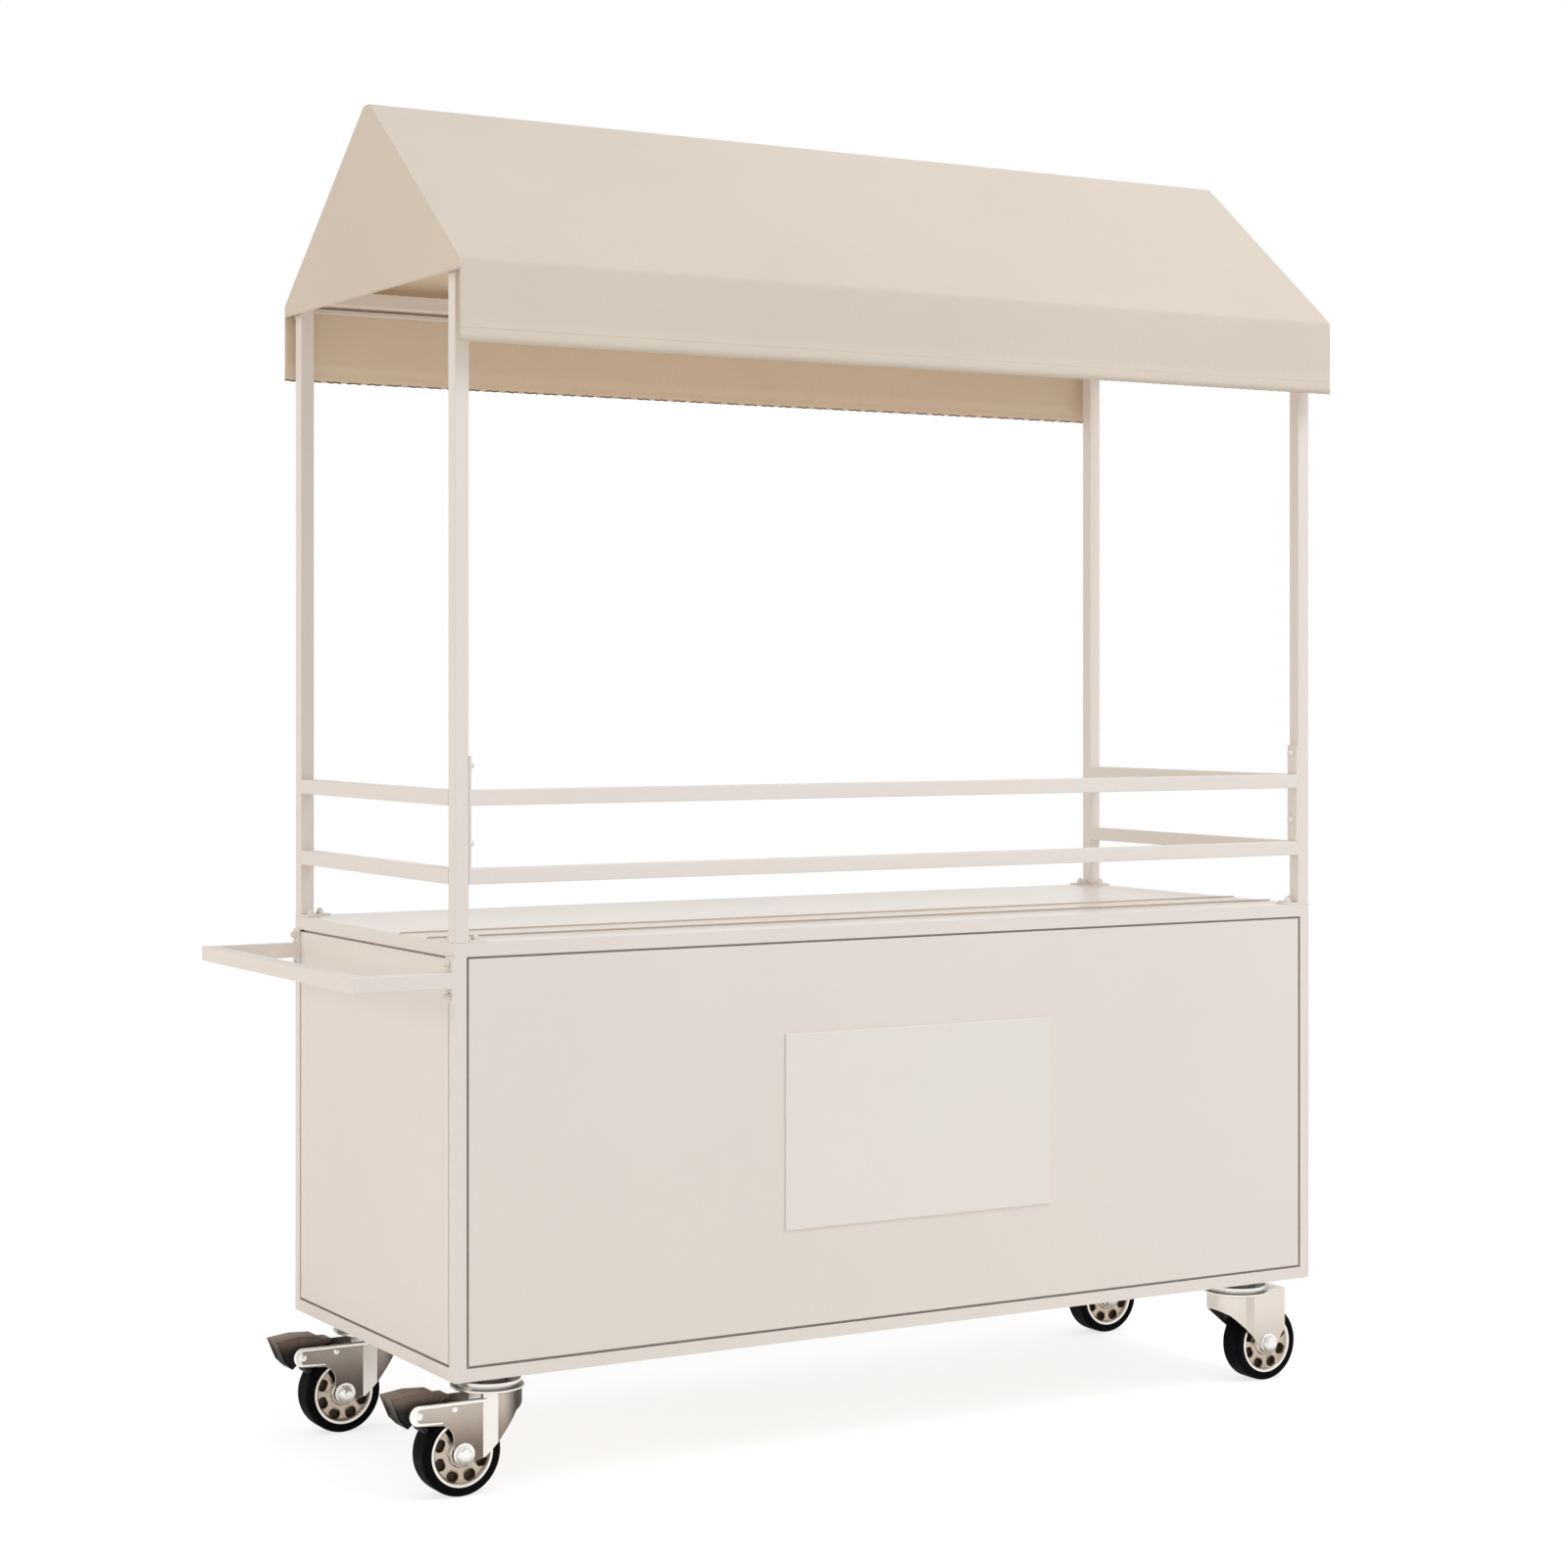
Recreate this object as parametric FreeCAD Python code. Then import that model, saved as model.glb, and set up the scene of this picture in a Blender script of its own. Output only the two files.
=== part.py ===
import FreeCAD
import Part
import math
import os

Vector = FreeCAD.Vector

# Cabinet
cabinet_length = 1600.0
cabinet_width = 600.0
cabinet_height = 634.0
load_height = 182.4
frame_tube = 19.0
frame_wall = 1.2
shadow_gap = 3.5

# Sheet panels
sheet = 1.2
panel_depth = 7.0
panel_corner = 1.0
shelf_height = 480.0
deck_sheet = 1.5
deck_fold = 16.0
deck_side_gap = 1.0

# Counter
board_thickness = 1.5
board_corner = 0.6
board_joint = 2.0
front_board_depth = 97.0
middle_board_depth = 98.0

# Bare plate on the front panel
plate_width = 500.0
plate_height = 300.0
plate_thickness = 3.0
plate_middle_height = 321.6
plate_side_offset = 7.0
plate_corner = 0.8

# Posts and guard rails
post_tube = 23.0
post_wall = 1.5
post_corner = 1.8
post_length = 986.0
foot_length = 29.0
foot_thickness = 3.0
lower_rail_height = 83.4
upper_rail_height = 197.0
end_plate_thickness = 4.0
end_plate_rise = 49.5
upper_nut_height = 255.6
middle_nut_height = 142.3

# Capped nuts
hexagon_sides = 6
nut_flats = 11.0
nut_height = 9.5
nut_bevel = 3.2

# Push handle
handle_reach = 159.0
handle_drop = 54.0
handle_plate_length = 67.0
handle_plate_thickness = 4.0
handle_nut_spacing = 49.4

# Canopy
front_overhang = 39.5
back_overhang = 16.5
side_overhang = 11.7
eave_height = 982.5
ridge_height = 1253.0
valance_height = 120.0
cloth_thickness = 1.5
end_tube_height = 975.5
long_tube_height = 981.5
rafter_tube = 20.0
roof_clearance = 0.6
eave_rod = 8.0
eave_rod_corner = 2.0
hem_rise = 18.0

# Casters
caster_inset_x = 91.0
caster_inset_y = 81.0
caster_trail = 50.0
top_plate_length = 105.0
top_plate_width = 90.0
top_plate_thickness = 4.0
top_plate_corner = 8.0
plate_bolt_spacing_x = 80.0
plate_bolt_spacing_y = 66.0
plate_bolt_flats = 13.0
plate_bolt_head = 5.3
race_radius = 46.0
race_height = 5.0
race_gap = 0.3
dish_radius = 50.0
dish_height = 4.5
neck_radius = 33.0
kingpin_radius = 6.0
kingpin_fit = 0.05
kingpin_head_radius = 11.0
kingpin_head_height = 4.0

# Wheels
wheel_radius = 63.5
wheel_width = 42.0
tyre_shoulder_drop = 6.0
tyre_shoulder_width = 5.0
rim_radius = 49.5
rim_dish = 3.5
rim_web = 5.0
pocket_count = 8
pocket_radius = 36.0
pocket_length = 19.0
pocket_width = 13.5
pocket_corner = 4.2
hub_radius = 20.0
hub_side_gap = 0.3
axle_radius = 5.0
axle_fit = 0.05
axle_head_flats = 24.0
axle_head_height = 12.0
axle_head_bevel = 5.0

# Forks, with places measured before or behind the swivel axis and above the ground
fork_sheet = 3.0
fork_gap = 46.0
fork_top_height = 157.0
crown_radius = 55.0
nose_half_width = 31.0
nose_reach = 54.0
nose_bottom_height = 133.0
fold_front = 3.0
fold_back = 19.0
throat_reach = 34.0
throat_height = 119.0
shin_reach = 9.0
toe_reach = 15.6
brake_shin_height = 83.0
brake_toe_height = 56.0
plain_shin_height = 99.0
plain_toe_height = 79.0
axle_boss_radius = 17.0
heel_reach = 36.0
heel_height = 88.0

# Brakes
arm_radius = 15.0
arm_length = 72.0
arm_height = 127.5
arm_bend_back = 18.0
arm_bend_height = 94.5
arm_root_back = 34.0
arm_root_height = 109.5
pedal_pin_radius = 4.0
pedal_pin_fit = 0.05
pedal_pin_head = 2.5
pedal_pin_head_radius = 6.5
pedal_hub_radius = 11.0
pedal_hub_width = 44.0
pedal_pad_width = 40.0
pedal_lever_width = 30.0
pedal_shoe_width = 34.0
pedal_reach = 43.0
pedal_rise = 32.5
pedal_lever_reach = 52.0
pedal_shoe_reach = 19.6
pedal_shoe_drop = 28.5

# Outlines of the brake pedal as shares of its reach and rise, back and up from its pivot
pad_shares = [(0, -0.17), (0.35, -0.57), (0.66, -0.18), (1, 0.86), (0.16, 1), (-0.65, 0.94), (-0.98, 0.71),
              (-0.98, 0.56)]
lever_shares = [(-1, 0.74), (-1, 0.54), (0, 0.06), (0.42, -0.06), (0.42, 0.8)]
shoe_shares = [(0.28, -0.088), (-0.662, -1), (-1, -0.892), (-0.28, 0.088)]

# Cutters reach past what they cut by this much
overrun = 5.0

# Worked out from the sizes above
half_length = cabinet_length / 2
half_width = cabinet_width / 2
fork_half_width = fork_gap / 2 + fork_sheet
wheel_place_x = half_length - caster_inset_x + caster_trail
reach_left = half_length + handle_reach
reach_right = max(half_length + side_overhang, wheel_place_x + wheel_radius)
origin_x = (reach_left - reach_right) / 2
origin_y = (front_overhang - back_overhang) / 2
counter_height = load_height + cabinet_height
rail_top = counter_height - board_thickness
opening_bottom = load_height + frame_tube
opening_top = rail_top - frame_tube
post_inset = post_tube / 2
handle_middle = counter_height - handle_drop
ridge_y = (back_overhang - front_overhang) / 2
half_ridge = post_tube / 2
half_span = (cabinet_width + front_overhang + back_overhang) / 2
roof_run = half_span - half_ridge
roof_rise = ridge_height - eave_height
fall_share = roof_rise / roof_run
roof_slant = math.hypot(roof_run, roof_rise) / roof_run
arm_end = caster_trail + arm_length

parts = {}


def box(x0, x1, y0, y1, z0, z1):
    """A block between two corners, given about the cabinet's middle."""
    corner = Vector(x0 + origin_x, y0 + origin_y, z0)
    return Part.makeBox(x1 - x0, y1 - y0, z1 - z0, corner)


def edges_along(shape, axis):
    """The straight edges of a plate or block that run along one axis."""
    found = []
    for edge in shape.Edges:
        step = edge.Vertexes[-1].Point - edge.Vertexes[0].Point
        spread = [abs(step.x), abs(step.y), abs(step.z)]
        if 2 * spread[axis] > sum(spread):
            found.append(edge)
    return found


def tube(axis, x0, x1, y0, y1, z0, z1, wall):
    """A square tube along one axis, open at both ends."""
    outer = box(x0, x1, y0, y1, z0, z1)
    low = [x0 + wall, y0 + wall, z0 + wall]
    high = [x1 - wall, y1 - wall, z1 - wall]
    ends = [(x0, x1), (y0, y1), (z0, z1)][axis]
    low[axis] = ends[0] - overrun
    high[axis] = ends[1] + overrun
    inner = box(low[0], high[0], low[1], high[1], low[2], high[2])
    return outer.cut(inner)


def frame_bar(axis, x0, x1, y0, y1, z0, z1):
    """A bar of the cabinet frame."""
    return tube(axis, x0, x1, y0, y1, z0, z1, frame_wall)


def post_bar(axis, x0, x1, y0, y1, z0, z1):
    """A bar of the larger tube that the posts, rails and handle are cut from, with rounded corners."""
    bar = tube(axis, x0, x1, y0, y1, z0, z1, post_wall)
    outer = box(x0, x1, y0, y1, z0, z1)
    return bar.common(outer.makeFillet(post_corner, edges_along(outer, axis)))


def hexagon(flats, height):
    """A hexagonal prism standing on the origin."""
    corner_radius = flats / math.sqrt(3)
    points = []
    for index in range(hexagon_sides + 1):
        angle = 2 * math.pi * index / hexagon_sides
        points.append(Vector(corner_radius * math.cos(angle), corner_radius * math.sin(angle), 0))
    return Part.Face(Part.makePolygon(points)).extrude(Vector(0, 0, height))


def capped_head(flats, height, bevel):
    """A closed nut or bolt head: a hexagon that tapers to its cap."""
    block = hexagon(flats, height)
    crown = [edge for edge in block.Edges
             if min(point.Point.z for point in edge.Vertexes) > height - bevel]
    return block.makeChamfer(bevel, crown)


def capped_nut():
    """The closed nut that holds the posts, rails and handle."""
    return capped_head(nut_flats, nut_height, nut_bevel)


def stand(shape, x, y, z, direction):
    """A copy of a piece made along Z, put at a place and turned to a direction."""
    piece = shape.copy()
    turn = FreeCAD.Rotation(Vector(0, 0, 1), direction)
    piece.Placement = FreeCAD.Placement(Vector(x + origin_x, y + origin_y, z), turn)
    return piece


def save(name, shapes):
    """Keep a node: one piece or a group of separate ones."""
    if not isinstance(shapes, list):
        shapes = [shapes]
    parts[name] = shapes[0] if len(shapes) == 1 else Part.makeCompound(shapes)


def cabinet_frame():
    """Corner uprights, bottom and top rails, cross tubes and counter bearers."""
    x_in = half_length - frame_tube
    y_in = half_width - frame_tube
    uprights = []
    for sx in (-1, 1):
        for sy in (-1, 1):
            x0, x1 = sorted((sx * half_length, sx * x_in))
            y0, y1 = sorted((sy * half_width, sy * y_in))
            uprights.append(frame_bar(2, x0, x1, y0, y1, load_height, rail_top))
    save("frame_uprights", uprights)
    for name, z0 in (("frame_bottom_rails", load_height), ("frame_top_rails", opening_top)):
        z1 = z0 + frame_tube
        rails = []
        for side in (-1, 1):
            y0, y1 = sorted((side * half_width, side * y_in))
            rails.append(frame_bar(0, -x_in, x_in, y0, y1, z0, z1))
            x0, x1 = sorted((side * half_length, side * x_in))
            rails.append(frame_bar(1, x0, x1, -y_in, y_in, z0, z1))
        save(name, rails)
    crossings = []
    for sx in (-1, 1):
        for step in (-1, 1):
            middle = sx * (half_length - caster_inset_x) + step * plate_bolt_spacing_x / 2
            crossings.append(frame_bar(1, middle - frame_tube / 2, middle + frame_tube / 2,
                                       -y_in, y_in, load_height, opening_bottom))
    save("floor_cross_tubes", crossings)
    bearers = []
    for joint in (front_board_depth, front_board_depth + middle_board_depth):
        middle = joint - half_width
        bearers.append(frame_bar(0, -x_in, x_in, middle - frame_tube / 2, middle + frame_tube / 2,
                                 opening_top, rail_top))
    save("counter_bearers", bearers)


def pressed_panel(width, height):
    """A shallow pan: a face, folded sides and a lip that fills the frame opening.

    It is made lying down, with the face at the top and the middle at the origin.
    """
    face_x = width / 2 - shadow_gap
    face_y = height / 2 - shadow_gap
    pan = Part.makeBox(2 * face_x, 2 * face_y, panel_depth, Vector(-face_x, -face_y, -panel_depth))
    folded = [edge for edge in pan.Edges
              if min(point.Point.z for point in edge.Vertexes) > -panel_depth / 2]
    pan = pan.makeChamfer(panel_corner, folded)
    lip = Part.makeBox(width, height, sheet, Vector(-width / 2, -height / 2, -panel_depth))
    hollow_x = face_x - sheet
    hollow_y = face_y - sheet
    hollow = Part.makeBox(2 * hollow_x, 2 * hollow_y, panel_depth,
                          Vector(-hollow_x, -hollow_y, -panel_depth - sheet))
    return pan.fuse(lip).cut(hollow).removeSplitter()


def upright_panel(width, height, outward, x, y):
    """A pressed panel stood up in the frame, with its face towards outward."""
    panel = pressed_panel(width, height)
    middle = Vector(x + origin_x, y + origin_y, (opening_bottom + opening_top) / 2)
    up = Vector(0, 0, 1)
    turn = FreeCAD.Rotation(up.cross(outward), up, outward, "ZXY")
    panel.Placement = FreeCAD.Placement(middle, turn)
    return panel


def cabinet_panels():
    """The front, left and right panels."""
    opening_height = opening_top - opening_bottom
    front_width = cabinet_length - 2 * frame_tube
    side_width = cabinet_width - 2 * frame_tube
    save("front_panel", upright_panel(front_width, opening_height, Vector(0, -1, 0), 0, -half_width))
    save("left_panel", upright_panel(side_width, opening_height, Vector(-1, 0, 0), -half_length, 0))
    save("right_panel", upright_panel(side_width, opening_height, Vector(1, 0, 0), half_length, 0))


def deck(z):
    """A floor or shelf sheet with two folds that stiffen it, lying at height z."""
    half_x = half_length - frame_tube - deck_side_gap
    y0 = -half_width + panel_depth + deck_side_gap
    y1 = half_width - deck_side_gap
    fold = half_width - panel_depth - deck_side_gap - frame_tube - deck_side_gap
    sheet_top = box(-half_x, half_x, y0, y1, z, z + deck_sheet)
    folds = []
    for side in (-1, 1):
        f0, f1 = sorted((side * fold, side * (fold - deck_sheet)))
        folds.append(box(-half_x, half_x, f0, f1, z - deck_fold, z))
    return sheet_top, folds


def cabinet_decks():
    """The floor, the middle shelf and the ledges that carry the shelf."""
    floor, _ = deck(opening_bottom)
    save("floor_panel", floor)
    shelf, folds = deck(shelf_height)
    save("middle_shelf", shelf.fuse(folds).removeSplitter())
    x_in = half_length - frame_tube
    front = -half_width + panel_depth + deck_side_gap
    back = half_width - frame_tube
    ledges = [frame_bar(0, -x_in, x_in, front, front + frame_tube, shelf_height - frame_tube, shelf_height),
              frame_bar(0, -x_in, x_in, back, back + frame_tube, shelf_height - frame_tube, shelf_height)]
    save("shelf_ledges", ledges)


def counter():
    """Three thin boards that lie on the top rails, with two joints between them."""
    first = front_board_depth - half_width
    second = first + middle_board_depth
    half_joint = board_joint / 2
    spans = {"counter_front_board": (-half_width, first - half_joint),
             "counter_middle_board": (first + half_joint, second - half_joint),
             "counter_rear_board": (second + half_joint, half_width)}
    for name, (y0, y1) in spans.items():
        board = box(-half_length, half_length, y0, y1, rail_top, counter_height)
        top_edges = [edge for edge in board.Edges
                     if min(point.Point.z for point in edge.Vertexes) > rail_top + board_corner]
        save(name, board.makeChamfer(board_corner, top_edges))


def bare_plate():
    """The plain plate fixed flat on the front panel."""
    middle = load_height + plate_middle_height
    x0 = plate_side_offset - plate_width / 2
    plate = box(x0, x0 + plate_width, -half_width - plate_thickness, -half_width,
                middle - plate_height / 2, middle + plate_height / 2)
    front = [edge for edge in plate.Edges
             if max(point.Point.y for point in edge.Vertexes) - origin_y < -half_width - plate_corner]
    save("front_plate", plate.makeChamfer(plate_corner, front))


def posts():
    """Four posts, each on two feet that are bolted to the counter."""
    nut = capped_nut()
    bars = []
    feet = []
    nuts = []
    up = Vector(0, 0, 1)
    nut_reach = post_tube + foot_length / 2
    for sx in (-1, 1):
        for sy in (-1, 1):
            x0, x1 = sorted((sx * half_length, sx * (half_length - post_tube)))
            y0, y1 = sorted((sy * half_width, sy * (half_width - post_tube)))
            bars.append(post_bar(2, x0, x1, y0, y1, counter_height, counter_height + post_length))
            inner_x = half_length - post_tube
            inner_y = half_width - post_tube
            f0, f1 = sorted((sx * inner_x, sx * (inner_x - foot_length)))
            foot_top = counter_height + foot_thickness
            feet.append(box(f0, f1, y0, y1, counter_height, foot_top))
            f0, f1 = sorted((sy * inner_y, sy * (inner_y - foot_length)))
            feet.append(box(x0, x1, f0, f1, counter_height, foot_top))
            nuts.append(stand(nut, sx * (half_length - nut_reach), sy * (half_width - post_inset),
                              foot_top, up))
            nuts.append(stand(nut, sx * (half_length - post_inset), sy * (half_width - nut_reach),
                              foot_top, up))
    save("posts", bars)
    save("post_feet", feet)
    save("post_foot_nuts", nuts)


def guard_rails():
    """Two rails at the front between end plates, and two at each side."""
    nut = capped_nut()
    lower = counter_height + lower_rail_height
    upper = counter_height + upper_rail_height
    x_post = half_length - post_tube
    x_plate = x_post - end_plate_thickness
    y_post = half_width - post_tube
    save("front_rails", [post_bar(0, -x_plate, x_plate, -half_width, -y_post, z0, z0 + post_tube)
                         for z0 in (lower, upper)])
    plates = []
    nuts = []
    for side in (-1, 1):
        x0, x1 = sorted((side * x_post, side * x_plate))
        plates.append(box(x0, x1, -half_width, -y_post, lower, upper + post_tube + end_plate_rise))
        inward = Vector(-side, 0, 0)
        for height in (middle_nut_height, upper_nut_height):
            nuts.append(stand(nut, side * x_plate, post_inset - half_width,
                              counter_height + height, inward))
    save("front_rail_end_plates", plates)
    save("front_rail_nuts", nuts)
    rails = []
    for side in (-1, 1):
        x0, x1 = sorted((side * half_length, side * x_post))
        for z0 in (lower, upper):
            rails.append(post_bar(1, x0, x1, -y_post, y_post, z0, z0 + post_tube))
    save("side_rails", rails)


def mitre(x_outer, y_outer, turn, side):
    """A block on one side of the mitre plane of a handle corner, from the corner's outer edge inwards."""
    reach = post_tube + overrun
    low = handle_middle - reach
    corners = [(x_outer - overrun, y_outer + side * overrun), (x_outer + reach, y_outer - side * reach)]
    corners.append((x_outer + reach, y_outer + side * overrun) if turn else
                   (x_outer - overrun, y_outer - side * reach))
    points = [Vector(x + origin_x, y + origin_y, low) for x, y in corners + corners[:1]]
    return Part.Face(Part.makePolygon(points)).extrude(Vector(0, 0, 2 * reach))


def push_handle():
    """A square bow with mitred corners on two bolted plates at the left end."""
    z0 = handle_middle - post_tube / 2
    z1 = z0 + post_tube
    x_plate = -half_length - handle_plate_thickness
    x_end = -half_length - handle_reach
    bow = post_bar(1, x_end, x_end + post_tube, -half_width, half_width, z0, z1)
    pieces = [bow.cut([mitre(x_end, side * half_width, True, side) for side in (-1, 1)])]
    nuts = []
    nut = capped_nut()
    half_plate = handle_plate_length / 2
    for side in (-1, 1):
        y0, y1 = sorted((side * half_width, side * (half_width - post_tube)))
        arm = post_bar(0, x_end, x_plate, y0, y1, z0, z1)
        pieces.append(arm.cut(mitre(x_end, side * half_width, False, side)))
        pieces.append(box(x_plate, -half_length, y0, y1, handle_middle - half_plate,
                          handle_middle + half_plate))
        for step in (-1, 1):
            nuts.append(stand(nut, x_plate, side * (half_width - post_inset),
                              handle_middle + step * handle_nut_spacing / 2, Vector(-1, 0, 0)))
    save("push_handle", pieces)
    save("handle_nuts", nuts)


def section(points, x0, x1):
    """A bar along X with the section given as places across the cart."""
    corners = [Vector(x0 + origin_x, y + origin_y, z) for y, z in points]
    corners.append(corners[0])
    return Part.Face(Part.makePolygon(corners)).extrude(Vector(x1 - x0, 0, 0))


def canopy_frame():
    """End tubes, long tubes, ridge tube and eave rods, and the rafters notched over them."""
    end_low = counter_height + end_tube_height
    long_low = counter_height + long_tube_height
    x_in = half_length - post_tube
    y_in = half_width - post_tube
    notches = []
    ends = []
    longs = []
    for side in (-1, 1):
        x0, x1 = sorted((side * half_length, side * x_in))
        ends.append(post_bar(1, x0, x1, -y_in, y_in, end_low, end_low + post_tube))
        notches.append(box(x0, x1, -y_in, y_in, end_low, end_low + post_tube))
        y0, y1 = sorted((side * y_in, side * (y_in - post_tube)))
        longs.append(post_bar(0, -x_in, x_in, y0, y1, long_low, long_low + post_tube))
        notches.append(box(-x_in, x_in, y0, y1, long_low, long_low + post_tube))
        for x0, x1 in ((-half_length, -x_in), (x_in, half_length)):
            y0, y1 = sorted((side * half_width, side * y_in))
            notches.append(box(x0, x1, y0, y1, counter_height, counter_height + post_length))
    save("canopy_end_tubes", ends)
    save("canopy_long_tubes", longs)
    cloth_drop = (cloth_thickness + roof_clearance) * roof_slant
    rafter_drop = rafter_tube * roof_slant
    ridge_top = counter_height + ridge_height - cloth_drop
    save("canopy_ridge_tube", post_bar(0, -half_length, half_length, ridge_y - half_ridge,
                                       ridge_y + half_ridge, ridge_top - post_tube, ridge_top))
    rafters = []
    foot = half_span - cloth_thickness - roof_clearance - eave_rod
    for middle in (rafter_tube / 2 - half_length, 0, half_length - rafter_tube / 2):
        for side in (-1, 1):
            points = []
            for reach, drop in ((half_ridge, 0), (foot, 0), (foot, rafter_drop), (half_ridge, rafter_drop)):
                fall = (reach - half_ridge) * fall_share
                points.append((ridge_y + side * reach, ridge_top - fall - drop))
            rafter = section(points, middle - rafter_tube / 2, middle + rafter_tube / 2)
            rafters.append(rafter.cut(notches))
    save("canopy_rafters", rafters)
    rods = []
    for side in (-1, 1):
        y0, y1 = sorted((ridge_y + side * foot, ridge_y + side * (foot + eave_rod)))
        top = ridge_top - (foot + eave_rod - half_ridge) * fall_share
        rod = box(-half_length, half_length, y0, y1, top - eave_rod, top)
        rods.append(rod.makeFillet(eave_rod_corner, edges_along(rod, 0)))
    save("canopy_eave_rods", rods)


def canopy_cloth():
    """The cover as its sewn panels: two slopes, two valances and two gables."""
    drop = cloth_thickness * roof_slant
    ridge = counter_height + ridge_height
    inner_ridge = ridge - cloth_thickness
    inner_half_ridge = half_ridge + (cloth_thickness - drop) / fall_share
    eave = counter_height + eave_height
    inner_eave = eave + cloth_thickness * fall_share - drop
    half_x = half_length + side_overhang
    inner_span = half_span - cloth_thickness
    for name, side in (("front", -1), ("back", 1)):
        edge = ridge_y + side * half_span
        inner = ridge_y + side * inner_span
        slope_points = [(ridge_y, ridge), (ridge_y + side * half_ridge, ridge), (edge, eave), (inner, eave),
                        (inner, inner_eave), (ridge_y + side * inner_half_ridge, inner_ridge),
                        (ridge_y, inner_ridge)]
        save("canopy_slope_" + name, section(slope_points, -half_x, half_x))
        y0, y1 = sorted((edge, inner))
        save("canopy_valance_" + name, box(-half_x, half_x, y0, y1, eave - valance_height, eave))
    hem = inner_eave - hem_rise
    gable = [(ridge_y + inner_half_ridge, inner_ridge), (ridge_y - inner_half_ridge, inner_ridge),
             (ridge_y - inner_span, inner_eave), (ridge_y - inner_span, hem),
             (ridge_y + inner_span, hem), (ridge_y + inner_span, inner_eave)]
    save("canopy_gable_left", section(gable, -half_x, -half_x + cloth_thickness))
    save("canopy_gable_right", section(gable, half_x - cloth_thickness, half_x))


def caster_plates():
    """Top plates with their bolts and the kingpins that the forks turn on."""
    plates = []
    bolts = []
    pins = []
    bolt = hexagon(plate_bolt_flats, plate_bolt_head)
    plate_low = load_height - top_plate_thickness
    race_low = fork_top_height + race_height + race_gap
    pin_low = fork_top_height - fork_sheet - race_gap
    for sx in (-1, 1):
        for sy in (-1, 1):
            x = sx * (half_length - caster_inset_x)
            y = sy * (half_width - caster_inset_y)
            plate = box(x - top_plate_length / 2, x + top_plate_length / 2,
                        y - top_plate_width / 2, y + top_plate_width / 2, plate_low, load_height)
            plate = plate.makeChamfer(top_plate_corner, edges_along(plate, 2))
            place = Vector(x + origin_x, y + origin_y, race_low)
            dish = Part.makeCylinder(dish_radius, dish_height, place)
            neck = Part.makeCylinder(neck_radius, plate_low - race_low, place)
            plates.append(plate.fuse([dish, neck]))
            shank = Part.makeCylinder(kingpin_radius, race_low - pin_low,
                                      Vector(place.x, place.y, pin_low))
            head = Part.makeCylinder(kingpin_head_radius, kingpin_head_height,
                                     Vector(place.x, place.y, pin_low - kingpin_head_height))
            pins.append(shank.fuse(head))
            for step_x in (-1, 1):
                for step_y in (-1, 1):
                    bolts.append(stand(bolt, x + step_x * plate_bolt_spacing_x / 2,
                                       y + step_y * plate_bolt_spacing_y / 2, plate_low, Vector(0, 0, -1)))
    save("caster_top_plates", plates)
    save("caster_plate_bolts", bolts)
    save("caster_kingpins", pins)


def outline_face(corners, place):
    """The face inside a closed outline of lines and three-point arcs; place gives a corner's point."""
    edges = []
    start = corners[0]
    for item in corners[1:]:
        first = place(*start)
        start = item[-2:]
        if len(item) > len(start):
            edges.append(Part.Arc(first, place(*item[:2]), place(*start)).toShape())
        else:
            edges.append(Part.LineSegment(first, place(*start)).toShape())
    return Part.Face(Part.Wire(edges))


def fork_plan(inset, back):
    """A fork's section seen from above: two legs that step outwards to a round nose."""
    leg = fork_half_width - inset
    nose = nose_half_width - inset
    middle = nose_half_width - nose_reach
    corners = [(back, -leg), (fold_back, -leg), (-fold_front, -nose), (middle, -nose),
               (middle - nose, 0, middle, nose), (-fold_front, nose), (fold_back, leg), (back, leg),
               (back, -leg)]
    return outline_face(corners, lambda x, y: Vector(x, y, 0))


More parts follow.
